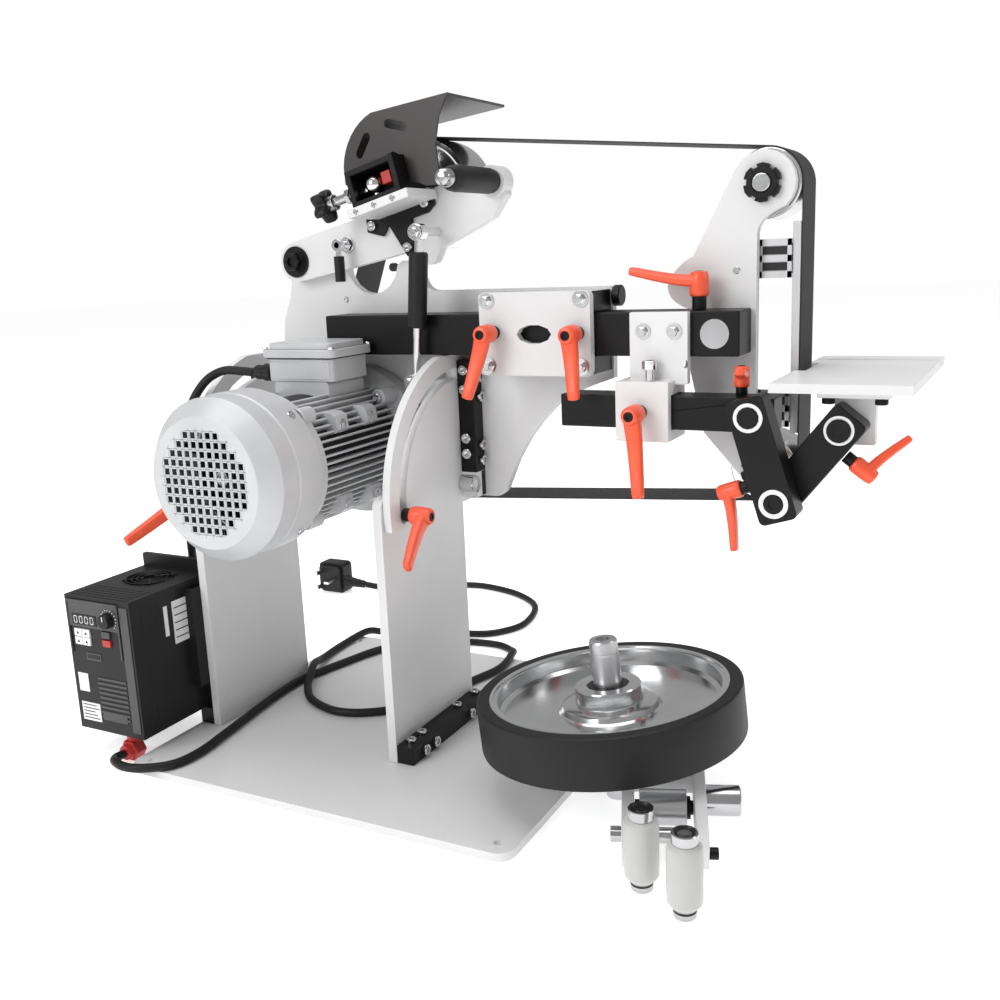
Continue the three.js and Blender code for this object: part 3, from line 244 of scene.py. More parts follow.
def finish(name, slot, colour, roughness, metallic=0.0, **changes):
    """A procedural finish. The slot argument is not used.

    A broad noise varies the colour down to shade, and a fine one varies the roughness and raises a bump.
    """
    look = {**PLAIN_LOOK, **changes}
    material = bpy.data.materials.new(name)
    material.use_nodes = True
    tree = material.node_tree
    shader = tree.nodes["Principled BSDF"]
    set_inputs(
        shader, Metallic=metallic, Coat_Weight=look["coat"], Coat_Roughness=COAT_ROUGHNESS,
        Specular_IOR_Level=look["shine"], Emission_Color=(1, 1, 1, 1), Emission_Strength=look["glow"],
    )
    wide = texture(tree, look["broad"], 4, look["stretch"])
    fine = texture(tree, look["grain"], 2, look["stretch"])
    ramp = tree.nodes.new("ShaderNodeValToRGB")
    ramp.color_ramp.elements[0].position = 0.3
    ramp.color_ramp.elements[1].position = 0.7
    ramp.color_ramp.elements[0].color = (*[c * look["shade"] for c in colour], 1)
    ramp.color_ramp.elements[1].color = (*colour, 1)
    tree.links.new(wide, ramp.inputs["Fac"])
    tree.links.new(ramp.outputs["Color"], shader.inputs["Base Color"])
    spread = tree.nodes.new("ShaderNodeMapRange")
    set_inputs(
        spread, To_Min=max(LEAST_ROUGHNESS, roughness - look["spread"]), To_Max=roughness + look["spread"],
    )
    tree.links.new(fine, spread.inputs["Value"])
    tree.links.new(spread.outputs["Result"], shader.inputs["Roughness"])
    bump = tree.nodes.new("ShaderNodeBump")
    set_inputs(bump, Strength=look["bump"], Distance=BUMP_DEPTH)
    tree.links.new(fine, bump.inputs["Height"])
    tree.links.new(bump.outputs["Normal"], shader.inputs["Normal"])
    return material


PAINT = finish("paint_grey", "paint", (0.7, 0.7, 0.705), 0.42, grain=2600, shade=0.97, bump=0.12)
WHITE = finish("paint_white", "paint", (0.74, 0.74, 0.74), 0.4, grain=2600, shade=0.97, bump=0.1)
BLACK_STEEL = finish(
    "black_steel", "black_steel", (0.006, 0.006, 0.007), 0.36, 0.0, grain=900,
    shade=0.7, bump=0.25, shine=0.22,
)
MOTOR = finish(
    "motor_paint", "motor_alloy", (0.57, 0.575, 0.585), 0.34, 0.15, grain=1300, shade=0.9, bump=0.3,
)
STEEL = finish("turned_steel", "steel", (0.52, 0.52, 0.53), 0.18, 1.0, grain=2400, shade=0.85, bump=0.08)
CHROME = finish("bright_screws", "steel", (0.75, 0.75, 0.76), 0.14, 1.0, grain=900, shade=0.8, bump=0.05)
ALLOY = finish("turned_alloy", "alloy", (0.64, 0.645, 0.65), 0.16, 1.0, grain=1800, shade=0.9, bump=0.08)
BRUSHED = finish(
    "brushed_steel", "steel", (0.6, 0.6, 0.61), 0.32, 1.0, grain=700, shade=0.9, bump=0.2,
    stretch=(1, 1, 0.06),
)
BLACK = finish(
    "moulded_black", "black_plastic", (0.008, 0.008, 0.009), 0.42, grain=1400, shade=0.8,
    bump=0.2, shine=0.3,
)
RUBBER = finish(
    "black_rubber", "rubber", (0.008, 0.008, 0.008), 0.5, grain=1100, shade=0.7, bump=0.3, shine=0.3,
)
ORANGE = finish(
    "orange_plastic", "orange_plastic", (0.9, 0.1, 0.035), 0.36, grain=1700, shade=0.88, bump=0.25, coat=0.1,
)
RED = finish("red_plastic", "red_plastic", (0.5, 0.025, 0.02), 0.4, grain=1500, shade=0.8, bump=0.15)
GREY = finish(
    "dark_grey_plastic", "grey_plastic", (0.012, 0.012, 0.013), 0.42, grain=1600, shade=0.85,
    bump=0.35, shine=0.25,
)
RIDGE_GREY = finish(
    "panel_grey_plastic", "grey_plastic", (0.05, 0.05, 0.053), 0.42, grain=1600, shade=0.9, bump=0.2,
)
LABEL = finish("label_white", "white_plastic", (0.8, 0.8, 0.8), 0.5, grain=1800, shade=0.96, bump=0.03)
HOOD = finish(
    "hood_paint", "bronze_sheet", (0.022, 0.017, 0.016), 0.36, 0.0, grain=1900, shade=0.75, bump=0.25,
)
NYLON = finish(
    "pale_nylon", "white_plastic", (0.5, 0.5, 0.485), 0.36, grain=1300, shade=0.95, bump=0.1, coat=0.15,
)
GRIT = finish(
    "abrasive_grit", "abrasive", (0.035, 0.032, 0.031), 0.75, grain=3800, shade=0.45, broad=900, bump=1.0,
)
COPPER = finish("windings", "winding", (0.45, 0.17, 0.07), 0.4, 0.8, grain=900, shade=0.6)
# Dark parts such as the display window, and painted shade in the motor's fin valleys, the platen bracket
# slots and the inverter's side vents.
DARK = finish("dark_and_painted_shade", "black_plastic", (0.008, 0.008, 0.009), 0.6, grain=900, shade=0.6)


# ---- pieces ---------------------------------------------------------------------------------


def make(name, shape, body, material, bevel=0.4, instead=(), angle=26):
    """Turns a shape into an object that rides on a body."""
    mesh = bpy.data.meshes.new(name)
    mesh.from_pydata([p * MM for p in shape.points], [], shape.faces)
    mesh.validate()
    mesh.update()
    turn_outwards(mesh)
    mesh.shade_smooth()
    mesh.set_sharp_from_angle(angle=radians(angle))
    piece = bpy.data.objects.new(name, mesh)
    SCENE.collection.objects.link(piece)
    mesh.materials.append(material)
    if bevel:
        soften(piece, bevel)
    if body is not None:
        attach(piece, body)
    if instead:
        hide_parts(*instead)
    return piece


def soften(piece, width):
    """Rounds the sharp edges of a piece."""
    edge = piece.modifiers.new("edge", "BEVEL")
    edge.width = width * MM
    edge.segments = 2
    edge.limit_method = "ANGLE"
    edge.angle_limit = radians(40)
    edge.harden_normals = True


def turn_outwards(mesh):
    work = bmesh.new()
    work.from_mesh(mesh)
    bmesh.ops.recalc_face_normals(work, faces=work.faces)
    work.to_mesh(mesh)
    work.free()


def repaint(material, *nodes, bevel=0.5):
    """A CAD node keeps its shape and gets a finish and soft edges."""
    for name in nodes:
        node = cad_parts[name]
        node.data.materials.clear()
        node.data.materials.append(material)
        weld = node.modifiers.new("weld", "WELD")
        weld.merge_threshold = 0.001 * MM
        soften(node, bevel)


# ---- camera, floor and light ----------------------------------------------------------------

CAMERA = {
    "place": (0.5954, -0.9049, 0.4930), "azimuth": 27.9, "elevation": 12.86, "roll": -2.41,
    "lens": 38.77, "sensor": 36,
}
FLOOR_REACH = 12000
SKY_FOR_LIGHT, SKY_SEEN = 0.45, 1.0


def set_camera():
    azimuth, elevation, roll = [radians(CAMERA[k]) for k in ("azimuth", "elevation", "roll")]
    level = cos(elevation)
    back = Vector((sin(azimuth) * level, -cos(azimuth) * level, sin(elevation)))
    right = (-back).cross(Vector(UP)).normalized()
    up = right.cross(-back)
    across = right * cos(roll) + up * sin(roll)
    above = up * cos(roll) - right * sin(roll)
    data = bpy.data.cameras.new("camera")
    data.lens = CAMERA["lens"]
    data.sensor_width = CAMERA["sensor"]
    data.clip_end = 50
    camera = bpy.data.objects.new("camera", data)
    turn = Matrix((across, above, back)).transposed().to_4x4()
    camera.matrix_world = Matrix.Translation(CAMERA["place"]) @ turn
    SCENE.collection.objects.link(camera)
    bpy.context.scene.camera = camera


def set_floor():
    floor = Shape().box(-FLOOR_REACH, FLOOR_REACH, -FLOOR_REACH, FLOOR_REACH, -20, 0)
    white = (0.93, 0.93, 0.93)
    pale = finish("floor_white", "floor", white, 0.75, shade=0.995, grain=300, bump=0.0, glow=0.56)
    make("floor", floor, None, pale, bevel=0)


def area_light(name, place, target, size, power):
    """A square lamp that faces a point."""
    data = bpy.data.lights.new(name, "AREA")
    data.energy = power
    data.size = size
    light = bpy.data.objects.new(name, data)
    light.location = place
    light.rotation_euler = (Vector(target) - Vector(place)).to_track_quat("-Z", "Y").to_euler()
    SCENE.collection.objects.link(light)


def set_light():
    """A white sky that looks brighter than it lights, and three soft lamps."""
    world = bpy.data.worlds.new("studio")
    world.use_nodes = True
    sky = world.node_tree.nodes["Background"]
    sky.inputs["Color"].default_value = (1, 1, 1, 1)
    seen = world.node_tree.nodes.new("ShaderNodeLightPath")
    level = world.node_tree.nodes.new("ShaderNodeMapRange")
    set_inputs(level, To_Min=SKY_FOR_LIGHT, To_Max=SKY_SEEN)
    world.node_tree.links.new(seen.outputs["Is Camera Ray"], level.inputs["Value"])
    world.node_tree.links.new(level.outputs["Result"], sky.inputs["Strength"])
    SCENE.world = world
    area_light("key", (-0.9, -2.3, 1.5), (0, 0, 0.3), 1.3, 31)
    area_light("top", (-0.2, 0.1, 2.6), (0, 0, 0), 2.4, 42)
    area_light("side", (2.3, 0.5, 1.4), (0.1, 0, 0.25), 0.7, 7)
    SCENE.view_settings.view_transform = "Standard"


set_camera()
set_floor()
set_light()

# ---- mains lead and motor cable -------------------------------------------------------------

LEAD_ROUTE = [
    (-233, -187.4, 9.5), (-233, -198, 10), (-222, -208, 12.5), (-203, -213, 13), (-182, -207, 13),
    (-162, -188, 12.8), (-157, -156, 12.8), (-163, -110, 12.8), (-170, -64, 12.8), (-177, -10, 12.8),
    (-179, 36, 12.8), (-173, 66, 12.8), (-165, 97, 12.8), (-147, 155, 12.8), (-118, 190, 12.8),
    (-96, 209, 12.6), (-76, 229, 7.5), (-52, 242, 4.9), (-22, 243, 4.9), (3, 228, 6.5), (16, 205, 13),
    (24, 157, 12.8), (12, 109, 12.8), (-6, 44, 12.8), (-38, -1, 12.8), (-82, -21, 12.8), (-128, -7, 12.8),
    (-156, 20, 14.5), (-169, 45, 21.5), (-181, 68, 22.5), (-193, 98, 15), (-201, 142, 12.8),
    (-201, 205, 13), (-190, 228, 7), (-170, 246, 4.9), (-143, 258, 4.9), (-78, 267, 4.9), (-46, 285, 4.9),
    (-28, 328, 4.9), (-45, 397, 4.9), (-90, 438, 4.9), (-146, 457, 4.9), (-188, 455, 4.9),
    (-254, 426, 4.9), (-298, 398, 6.3), (-323.6, 384.2, 11.9),
]
CABLE_ROUTE = [
    (-145, -36, 384.4), (-160, -36.5, 385.5), (-182, -42, 386), (-200, -52, 374), (-214, -62, 346),
    (-228, -55, 306), (-240, -46, 266), (-246, -44, 230), (-250, -44, 200), (-251, -42, 160),
    (-251, -40, 100), (-251, -38, 72), (-251, -45, 52), (-251, -57, 44), (-251, -65.2, 44),
]
CORD = 9.0


def path_length(path):
    return sum((b - a).length for a, b in zip(path, path[1:]))


def mains_plug():
    """A moulded plug on its edge: body, ribs over the grip, pins and a tapered relief."""
    outline = rounded(-393, -349, 1, 47, 6, 4)
    body = Shape().prism(outline, "XZ", 364, 386)
    inner = [(u * 0.84 - 371 * 0.16, v * 0.84 + 24 * 0.16) for u, v in outline]
    body.prism(inner, "XZ", 358, 365)
    relief = smooth_path([(-353, 371, 20), (-340, 376, 16.5), (-324, 384, 12)], 6)
    body.sweep(relief, [8.5 - 3.1 * k / (len(relief) - 1) for k in range(len(relief))], 20)
    for k in range(2, len(relief) - 2, 2):
        body.sweep([relief[k], relief[k] + (relief[k + 1] - relief[k]) * 0.5], 8.6 - 0.25 * k, 20)
    plug = make("plug_body", body, "stand", BLACK, 0.6, instead=["mains_plug"])
    pins = Shape()
    pins.box(-385, -381, 341, 359, 10, 16).box(-385, -381, 341, 359, 32, 38).box(-366, -358, 336, 359, 22, 26)
    return [plug, make("plug_pins", pins, "stand", CHROME, 0.5)]


def mains_lead():
    path = smooth_path(LEAD_ROUTE, 8)
    lead = make("lead", Shape().sweep(path, CORD / 2, 14), "stand", RUBBER, 0, instead=["mains_lead"])
    path_length(path) * MM
    mains_plug()


def motor_cable():
    path = smooth_path(CABLE_ROUTE, 8)
    cable = make("motor_lead", Shape().sweep(path, CORD / 2, 14), None, RUBBER, 0, instead=["motor_cable"])
    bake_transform(cable)


mains_lead()
motor_cable()

# ---- fasteners ------------------------------------------------------------------------------


def socket_screw(shape, place, axis, radius=4.2, height=4.0):
    """A socket cap screw with its hexagon sunk in."""
    hole = radius * 0.52
    profile = [
        (radius * 0.98, 0), (radius, 0.3), (radius, height - 0.6), (radius - 0.6, height), (hole, height),
        (hole, height * 0.35), (0, height * 0.35),
    ]
    shape.lathe(profile, place, axis, 18)


def hex_bolt(shape, place, axis, radius=5.5, height=4.0, washer=8.0):
    """A washer, a hexagon head and the end of the thread."""
    place = Vector(place)
    along = Vector(axis).normalized()
    shape.disc(washer, 1.2, place, axis)
    head = place + along * 1.2
    profile = [(0, 0), (radius, 0), (radius, height - 0.7), (radius * 0.85, height), (0, height)]
    shape.lathe(profile, head, axis, 6)
    shape.disc(radius * 0.6, 1.2, head + along * height, axis, 18)


# ---- stand ----------------------------------------------------------------------------------


def stand():
    repaint(PAINT, "base_plate", "upright_right", "upright_left", bevel=0.8)
    bars = Shape()
    for x0, x1 in ((38.9, 57.4), (-214.4, -195.9)):
        bars.box(x0, x1, -92.3, 60.3, 8.3, 26.7)
    make("foot_bars", bars, "stand", BLACK_STEEL, 0.7)
    screws = Shape()
    for y in (-72, -52, 22, 42):
        socket_screw(screws, (57.4, y, 17.5), RIGHT, 5.4, 5)
        socket_screw(screws, (-214.4, y, 17.5), LEFT, 5.4, 4.4)
    for x in (48.4, -205.4):
        for y in (-80, -60, 12, 50):
            socket_screw(screws, (x, y, 26.7), UP, 5, 0.9 if x < 0 else 4.5)
    make("foot_screws", screws, "stand", CHROME, 0)
    bolts = Shape()
    for side, x in ((1, 62.4), (-1, -219.4)):
        socket_screw(bolts, (x, 48.4, 262), (side, 0, 0), 8.6, 0.9)
        bolts.lathe([(8.6, -14.5), (8.7, -14.5), (8.7, 0.2), (8.6, 0.2)], (x, 48.4, 262), (side, 0, 0), 28)
    make("pivot_bolt_heads", bolts, "stand", CHROME, 0)


def head_plates():
    repaint(PAINT, "sector_right", "sector_left", "main_plate", "receiver", bevel=0.8)
    bars = Shape()
    for y0, z0, z1 in ((47.9, 274, 389.3), (58.2, 247.8, 274.1)):
        for x0, x1 in ((47.2, 65.3), (-222.3, -204.2)):
            bars.box(x0, x1, y0, 66.35, z0, z1)
    for z0, z1 in ((437.2, 456.4), (380.2, 396.8)):
        bars.box(93.8, 209.2, 23.6, 66.2, z0, z1)
    make("corner_bars", bars, "head", BLACK_STEEL, 0.7)
    screws = Shape()
    for z in (286, 302, 352, 372):
        socket_screw(screws, (65.7, 57, z), RIGHT, 5.2, 5)
        socket_screw(screws, (56.5, 47.9, z + 8), FRONT, 5.2, 5)
        socket_screw(screws, (-213.5, 47.9, z + 8), FRONT, 5.2, 5)
    make("corner_screws", screws, "head", CHROME, 0)
    bolts = Shape()
    for x in (103, 200):
        for z in (450, 388):
            hex_bolt(bolts, (x, 15, z), FRONT, 5, 3.6, 8)
    make("receiver_bolts", bolts, "head", CHROME, 0.2)
    stop = Shape().lathe([(0, 0), (9, 0), (10, 1), (10, 7), (9, 8), (0, 8)], (211, 71.5, 450), RIGHT, 32)
    make("main_plate_stop", stop, "head", BLACK, 0)
    small = Shape()
    socket_screw(small, (-96, 66.5, 452), FRONT, 3.2, 1.2)
    make("main_plate_screws", small, "head", CHROME, 0)
    plug = Shape().disc(4.3, 6, (-35, 67.2, 484), BACK, 24)
    make("main_plate_plug", plug, "head", DARK, 0)


# ---- motor ----------------------------------------------------------------------------------

MOTOR_X, MOTOR_Z = -80.0, 303.5
MOTOR_AT = (MOTOR_X, 0, MOTOR_Z)
FINS = 60
GRILLE = {"rows": 13, "pitch": 8.7, "hole": 2.75, "radius": 52, "front": -192.9, "back": -191.3}


def around(radius, degrees, y):
    """A point at an angle round the motor's shaft."""
    a = radians(degrees)
    return (MOTOR_X + radius * cos(a), y, MOTOR_Z + radius * sin(a))


def grille_cell(shell, u, v):
    """One square of the fan cover's face: four bars round a hole, or plain near the rim."""
    half, hole, radius = GRILLE["pitch"] / 2, GRILLE["hole"], GRILLE["radius"]
    y0, y1 = GRILLE["front"], GRILLE["back"]
    x0, x1, z0, z1 = MOTOR_X + u - half, MOTOR_X + u + half, MOTOR_Z + v - half, MOTOR_Z + v + half
    if hypot(abs(u) + hole, abs(v) + hole) > radius - 0.5:
        if hypot(max(abs(u) - half, 0), max(abs(v) - half, 0)) < radius:
            left, right = max(x0, MOTOR_X - radius - 1), min(x1, MOTOR_X + radius + 1)
            shell.box(left, right, y0, y1, max(z0, MOTOR_Z - radius - 1), min(z1, MOTOR_Z + radius + 1))
        return
    bar = half - hole
    shell.box(x0, x0 + bar, y0, y1, z0, z1).box(x1 - bar, x1, y0, y1, z0, z1)
    shell.box(x0 + bar, x1 - bar, y0, y1, z0, z0 + bar)
    shell.box(x0 + bar, x1 - bar, y0, y1, z1 - bar, z1)


def fan_cover():
    shell = Shape().lathe([
        (51, -193), (61, -193), (76, -176), (76, -154), (77, -152), (77, -120.4), (75, -120.4),
        (74.6, -175.4), (60, -191.2), (51, -191.2), (51, -193),
    ], MOTOR_AT, BACK, 80)
    for i in range(GRILLE["rows"]):
        for j in range(GRILLE["rows"]):
            grille_cell(shell, (i - 6) * GRILLE["pitch"], (j - 6) * GRILLE["pitch"])
    make("fan_shroud", shell, "head", MOTOR, 0.7, instead=["fan_cover"])
    screws = Shape()
    for angle in (45, 135, 225, 315):
        place = Vector(around(76.6, angle, -131))
        socket_screw(screws, place, place - Vector((MOTOR_X, -131, MOTOR_Z)), 4.2, 1.6)
    make("shroud_screws", screws, "head", CHROME, 0)


def motor_barrel():
    # The barrel between the fins is dark: painted shade for the deep gaps between the fins.
    valley_shade = Shape().ring(58, 60.8, -107, 34, MOTOR_AT, BACK, 60)
    make("motor_fin_valleys_painted_shade", valley_shade, "head", DARK, 0)
    body = Shape().ring(20, 72, -119.6, -106, MOTOR_AT, BACK, 72)
    body.lathe([
        (20, 30), (66, 30), (69, 36), (80, 46), (80, 62.6), (44, 62.6), (44, 65.6), (20, 65.6), (20, 30),
    ], MOTOR_AT, BACK, 72)
    for k in range(FINS):
        degrees = (k + 0.5) * 360 / FINS
        if 68 < degrees < 112:
            continue
        turn = Matrix.Translation(MOTOR_AT) @ Matrix.Rotation(-radians(degrees), 4, "Y")
        fin = Shape().box(59, 69, -108, 37, -1.05, 1.05)
        fin.moved(turn)
        body.add(fin.points, fin.faces)
    make("motor_barrel", body, "head", MOTOR, 0.3, instead=["motor_housing"])
    lugs = Shape()
    screws = Shape()
    for degrees in (45, 135, 225, 315):
        lugs.rod(around(70, degrees, -118), around(70, degrees, -98), 8.6, sides=24)
        lugs.rod(around(71.5, degrees, 16), around(71.5, degrees, 47), 8.6, sides=24)
        socket_screw(screws, around(71.5, degrees, 16), FRONT, 5, 5)
    lugs.prism(rounded(MOTOR_X - 33.3, MOTOR_X + 33.3, 350, 376.7, 4), "XZ", -43.3, 17.3)
    for side in (-1, 1):
        for y in (-68, -18):
            for low, high in ((330, 352), (252, 274)):
                lugs.prism([(MOTOR_X + side * u, v) for u, v in (
                    (40, low), (61, low + 2), (66, low + 6), (64, high - 3), (58, high), (40, high),
                )], "XZ", y - 9, y + 9)
                socket_screw(screws, (MOTOR_X + side * 64.6, y, low + 10), (side, 0, 0), 5.2, 1.2)
    make("motor_lugs", lugs, "head", MOTOR, 0.8)
    make("motor_screws", screws, "head", CHROME, 0)


def terminal_box():
    low = 376.9
    body = Shape()
    body.prism(rounded(-120, -40, -45, 19, 7), "XY", low, low + 22.6)
    body.prism(rounded(-124.3, -35.7, -48.8, 22.8, 8), "XY", low + 23.6, low + 31.8)
    body.prism(rounded(-119, -41, -44, 18, 7), "XY", low + 31.7, low + 37.8)
    body.prism(rounded(-117, -43, -45.6, -40, 2), "XY", low + 2, low + 20)
    make("terminal_box_case", body, "head", MOTOR, 0.9, instead=["terminal_box"])
    seal = Shape().prism(rounded(-122, -38, -47, 21, 7), "XY", low + 22.5, low + 23.7)
    nut = [(0, 0), (9, 0), (9, 9), (7.4, 11), (7.4, 20), (5, 24), (0, 24)]
    seal.lathe(nut, (-119.5, -36, low + 8), LEFT, 24)
    make("terminal_box_seal", seal, "head", BLACK, 0.2)
    screws = Shape()
    for x in (-120.5, -39.5):
        for y in (-45, 19):
            socket_screw(screws, (x, y, low + 31.8), UP, 3.2, 2.4)
    make("terminal_box_screws", screws, "head", CHROME, 0)


def motor():
    repaint(COPPER, "motor_stator")
    repaint(STEEL, "motor_rotor")
    repaint(DARK, "motor_fan")
    fan_cover()
    motor_barrel()
    terminal_box()


# ---- wheels and belt ------------------------------------------------------------------------

DRIVE = (-80.0, 303.5, 70.0)
TRACK = (0.0, 556.0, 55.0)
IDLER_TOP = (353.0, 544.0, 30.5)
IDLER_LOW = (353.0, 289.0, 30.5)
BELT_Y = (80.0, 130.0)


def belt_loop(grow):
    """The outline round the four wheels, a distance outside their faces."""
    wheels = [IDLER_LOW, IDLER_TOP, TRACK, DRIVE]
    headings = []
    for k, (x, z, r) in enumerate(wheels):
        nx, nz, nr = wheels[(k + 1) % 4]
        swing = math.asin((r - nr) / hypot(nx - x, nz - z))
        headings.append(atan2(nz - z, nx - x) - math.pi / 2 + swing)
    outline = []
    for k, (x, z, r) in enumerate(wheels):
        arriving = headings[k - 1]
        leaving = headings[k]
        while leaving < arriving:
            leaving += TAU
        outline += arc(x, z, r + grow, math.degrees(arriving), math.degrees(leaving), 28)
    return outline


def belt():
    outer, inner = belt_loop(1.5), belt_loop(0.38)
    y0, y1 = BELT_Y
    rings = []
    for loop, y in ((outer, y0), (outer, y1), (inner, y1), (inner, y0), (outer, y0)):
        rings.append([(u, y, v) for u, v in loop])
    loop = Shape().loft(rings, closed_ends=False)
    piece = make("grinding_belt", loop, None, GRIT, 0, instead=["abrasive_belt"], angle=50)
    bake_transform(piece)


def wheels():
    x, z, r = TRACK
    rim = Shape().lathe([
        (7, 78), (13, 78), (13, 87), (r - 9, 90), (r - 7, 79), (r - 5, 78), (r - 0.6, 78.2), (r, 84),
        (r + 0.1, 105), (r, 126), (r - 0.6, 131.8), (r - 5, 132), (r - 7, 131), (r - 9, 120), (13, 123),
        (13, 132), (7, 132), (7, 78),
    ], (x, 0, z), BACK, 80)
    make("tracking_wheel_rim", rim, "track_wheel", ALLOY, 0.3, instead=["tracking_wheel"])
    x, z, r = DRIVE
    rim = Shape().lathe([
        (10, 79), (r - 2, 79), (r, 81), (r, 129), (r - 2, 131), (r - 8, 131), (r - 9, 117), (22, 117),
        (21, 125), (10, 125), (10, 79),
    ], (x, 0, z), BACK, 80)
    make("drive_wheel_rim", rim, "drive_rotor", ALLOY, 0.3, instead=["drive_wheel"])
    idlers = (("idler_upper", IDLER_TOP, "idler_top"), ("idler_lower", IDLER_LOW, "idler_low"))
    for body, (x, z, r), node in idlers:
        roller = Shape().lathe([
            (13, 79.2), (r - 1, 79), (r, 80), (r, 130), (r - 1, 131), (r - 5, 131), (r - 6, 127), (14, 127),
            (13, 131), (13, 79.2),
        ], (x, 0, z), BACK, 64)
        roller.rod((x, 57.6, z), (x, 134.6, z), 7.9)
        for low, high in ((78, 79.6), (130, 132)):
            roller.ring(7.9, 13, low, high, (x, 0, z), BACK, 40)
        make(node + "_roller", roller, body, ALLOY, 0.2, instead=[node])
    repaint(STEEL, "tracking_axle", bevel=0.3)


# ---- tension arm, tracking and hood ---------------------------------------------------------

TILT = radians(14)
TENSION_X, TENSION_Z = -146.0, 493.5
GRIP_X, GRIP_Z = 98, 561


def on_arm(along, above):
    """A point of the tilted tension arm in the XZ plane, from its pivot."""
    return (
        TENSION_X + along * cos(TILT) - above * sin(TILT),
        TENSION_Z + along * sin(TILT) + above * cos(TILT),
    )


def arm_box(shape, along0, along1, above0, above1, y0, y1):
    outline = [on_arm(*p) for p in ((along0, above0), (along1, above0), (along1, above1), (along0, above1))]
    shape.prism(outline, "XZ", y0, y1)


def arm_place(along, above, y):
    u, v = on_arm(along, above)
    return (u, y, v)


def tension_arm():
    repaint(PAINT, "tension_arm", bevel=0.9)
    grip = Shape().lathe([
        (0, 12), (8.4, 12), (9.6, 13), (11.4, 20), (12, 26), (12, 88), (11.4, 92), (11.4, 93.4), (0, 93.4),
    ], (GRIP_X, -51.9, GRIP_Z), BACK, 48)
    make("release_grip", grip, "tension", RUBBER, 0, instead=["release_handle"])
    cap = Shape().lathe([
        (0, 0), (4, 0.4), (7, 2.4), (8.4, 6), (8.4, 13), (0, 13),
    ], (GRIP_X, -52, GRIP_Z), BACK, 40)
    make("release_grip_cap", cap, "tension", STEEL, 0.2)


def arm_pivot():
    """The flanged pivot of the tension arm on the main plate."""
    bolt = Shape()
    bolt.lathe([(0, 0), (16.4, 0), (16.4, 2.2), (14, 2.2), (14, 3.4), (12.4, 3.4), (12.4, 5), (0, 5)],
               (TENSION_X, 50, TENSION_Z), FRONT, 48)
    bolt.lathe([(0, 4.9), (10.4, 4.9), (10.4, 9), (9.4, 10), (5.4, 10), (5.4, 7), (0, 7)],
               (TENSION_X, 50, TENSION_Z), FRONT, 6)
    make("arm_pivot_bolt", bolt, "tension", BLACK_STEEL, 0.2)


def tracking_frame():
    black = Shape()
    y0, y1 = -0.8, 47.5
    arm_box(black, 122, 180, 49.5, 55, y0, y1)
    arm_box(black, 122, 180, 19.2, 24.5, y0, y1)
    arm_box(black, 122, 128, 24, 50, y0, y1)
    arm_box(black, 174, 180, 24, 50, y0, y1)
    arm_box(black, 127, 175, 24, 50, 38, 46)
    flange = [
        (104, 19), (101, 2), (118, -7), (128, 2), (140, -34), (150, -36), (156, 0), (176, 0), (186, 6),
        (184, 19),
    ]
    black.prism([on_arm(*p) for p in flange], "XZ", 44.8, 49.5)
    make("tracking_frame", black, "tension", BLACK_STEEL, 0.8, instead=["tracking_bracket"])
    shelf = Shape()
    arm_box(shelf, 118, 190, 10.2, 19, -6.8, 47.5)
    make("tracking_shelf", shelf, "tension", PAINT, 0.8)
    block = Shape()
    arm_box(block, 158, 169, 32, 44, 6, 34)
    make("tracking_spring_block", block, "tension", RED, 1.0)
    ball = Shape()
    u, v = on_arm(147, 36)
    half = [(9.5 * sin(math.pi * k / 16), -9.5 * cos(math.pi * k / 16)) for k in range(17)]
    ball.lathe(half, (u, 10, v), FRONT, 32)
    ball.rod(arm_place(130, 33, 12), arm_place(147, 35, 10), 4.6)
    ball.rod(arm_place(147, 20, 10), arm_place(147, 30, 10), 3.4)
    make("tracking_ball", ball, "tension", CHROME, 0, angle=60)
    bolts = Shape()
    for along, above in ((110, 6), (145, -26), (177, 9.5)):
        socket_screw(bolts, arm_place(along, above, 44.8), FRONT, 5, 5)
    for along in (128, 150, 172):
        socket_screw(bolts, arm_place(along, 14.5, -6.8), FRONT, 3.2, 0.8)
    make("tracking_bolts", bolts, "tension", CHROME, 0)


def tracking_knob():
    u, v = on_arm(107.5, 35)
    base = Vector((u, 14, v))
    along = Vector((cos(TILT), 0, sin(TILT)))
    side, over, _ = frame_for(along)
    knob = Shape()
    rings = []
    for height, scale in ((-34, 0.8), (-33, 0.95), (-30, 1), (-23, 1), (-20, 0.92), (-19.2, 0.6)):
        ring = []
        for k in range(80):
            a = TAU * k / 80
            radius = (13.6 + 3.4 * cos(5 * a)) * scale
            ring.append(base + along * height + side * radius * cos(a) + over * radius * sin(a))
        rings.append(ring)
    knob.loft(rings)
    make("star_knob", knob, "track_knob", BLACK, 0, instead=["tracking_knob"], angle=60)
    shank = Shape()
    shank.rod(base - along * 20, base + along * 13, 4.6)
    shank.lathe([(0, 0), (8, 0), (8, 6), (6, 7), (0, 7)], base - along * 19.3, along, 24)
    shank.disc(7.6, 5, base + along * 2, along, 6)
    make("star_knob_shank", shank, "track_knob", STEEL, 0.3)


GAS_TOP, GAS_LOW = (33, 517), (20, 372)
STAY = (70, -2)


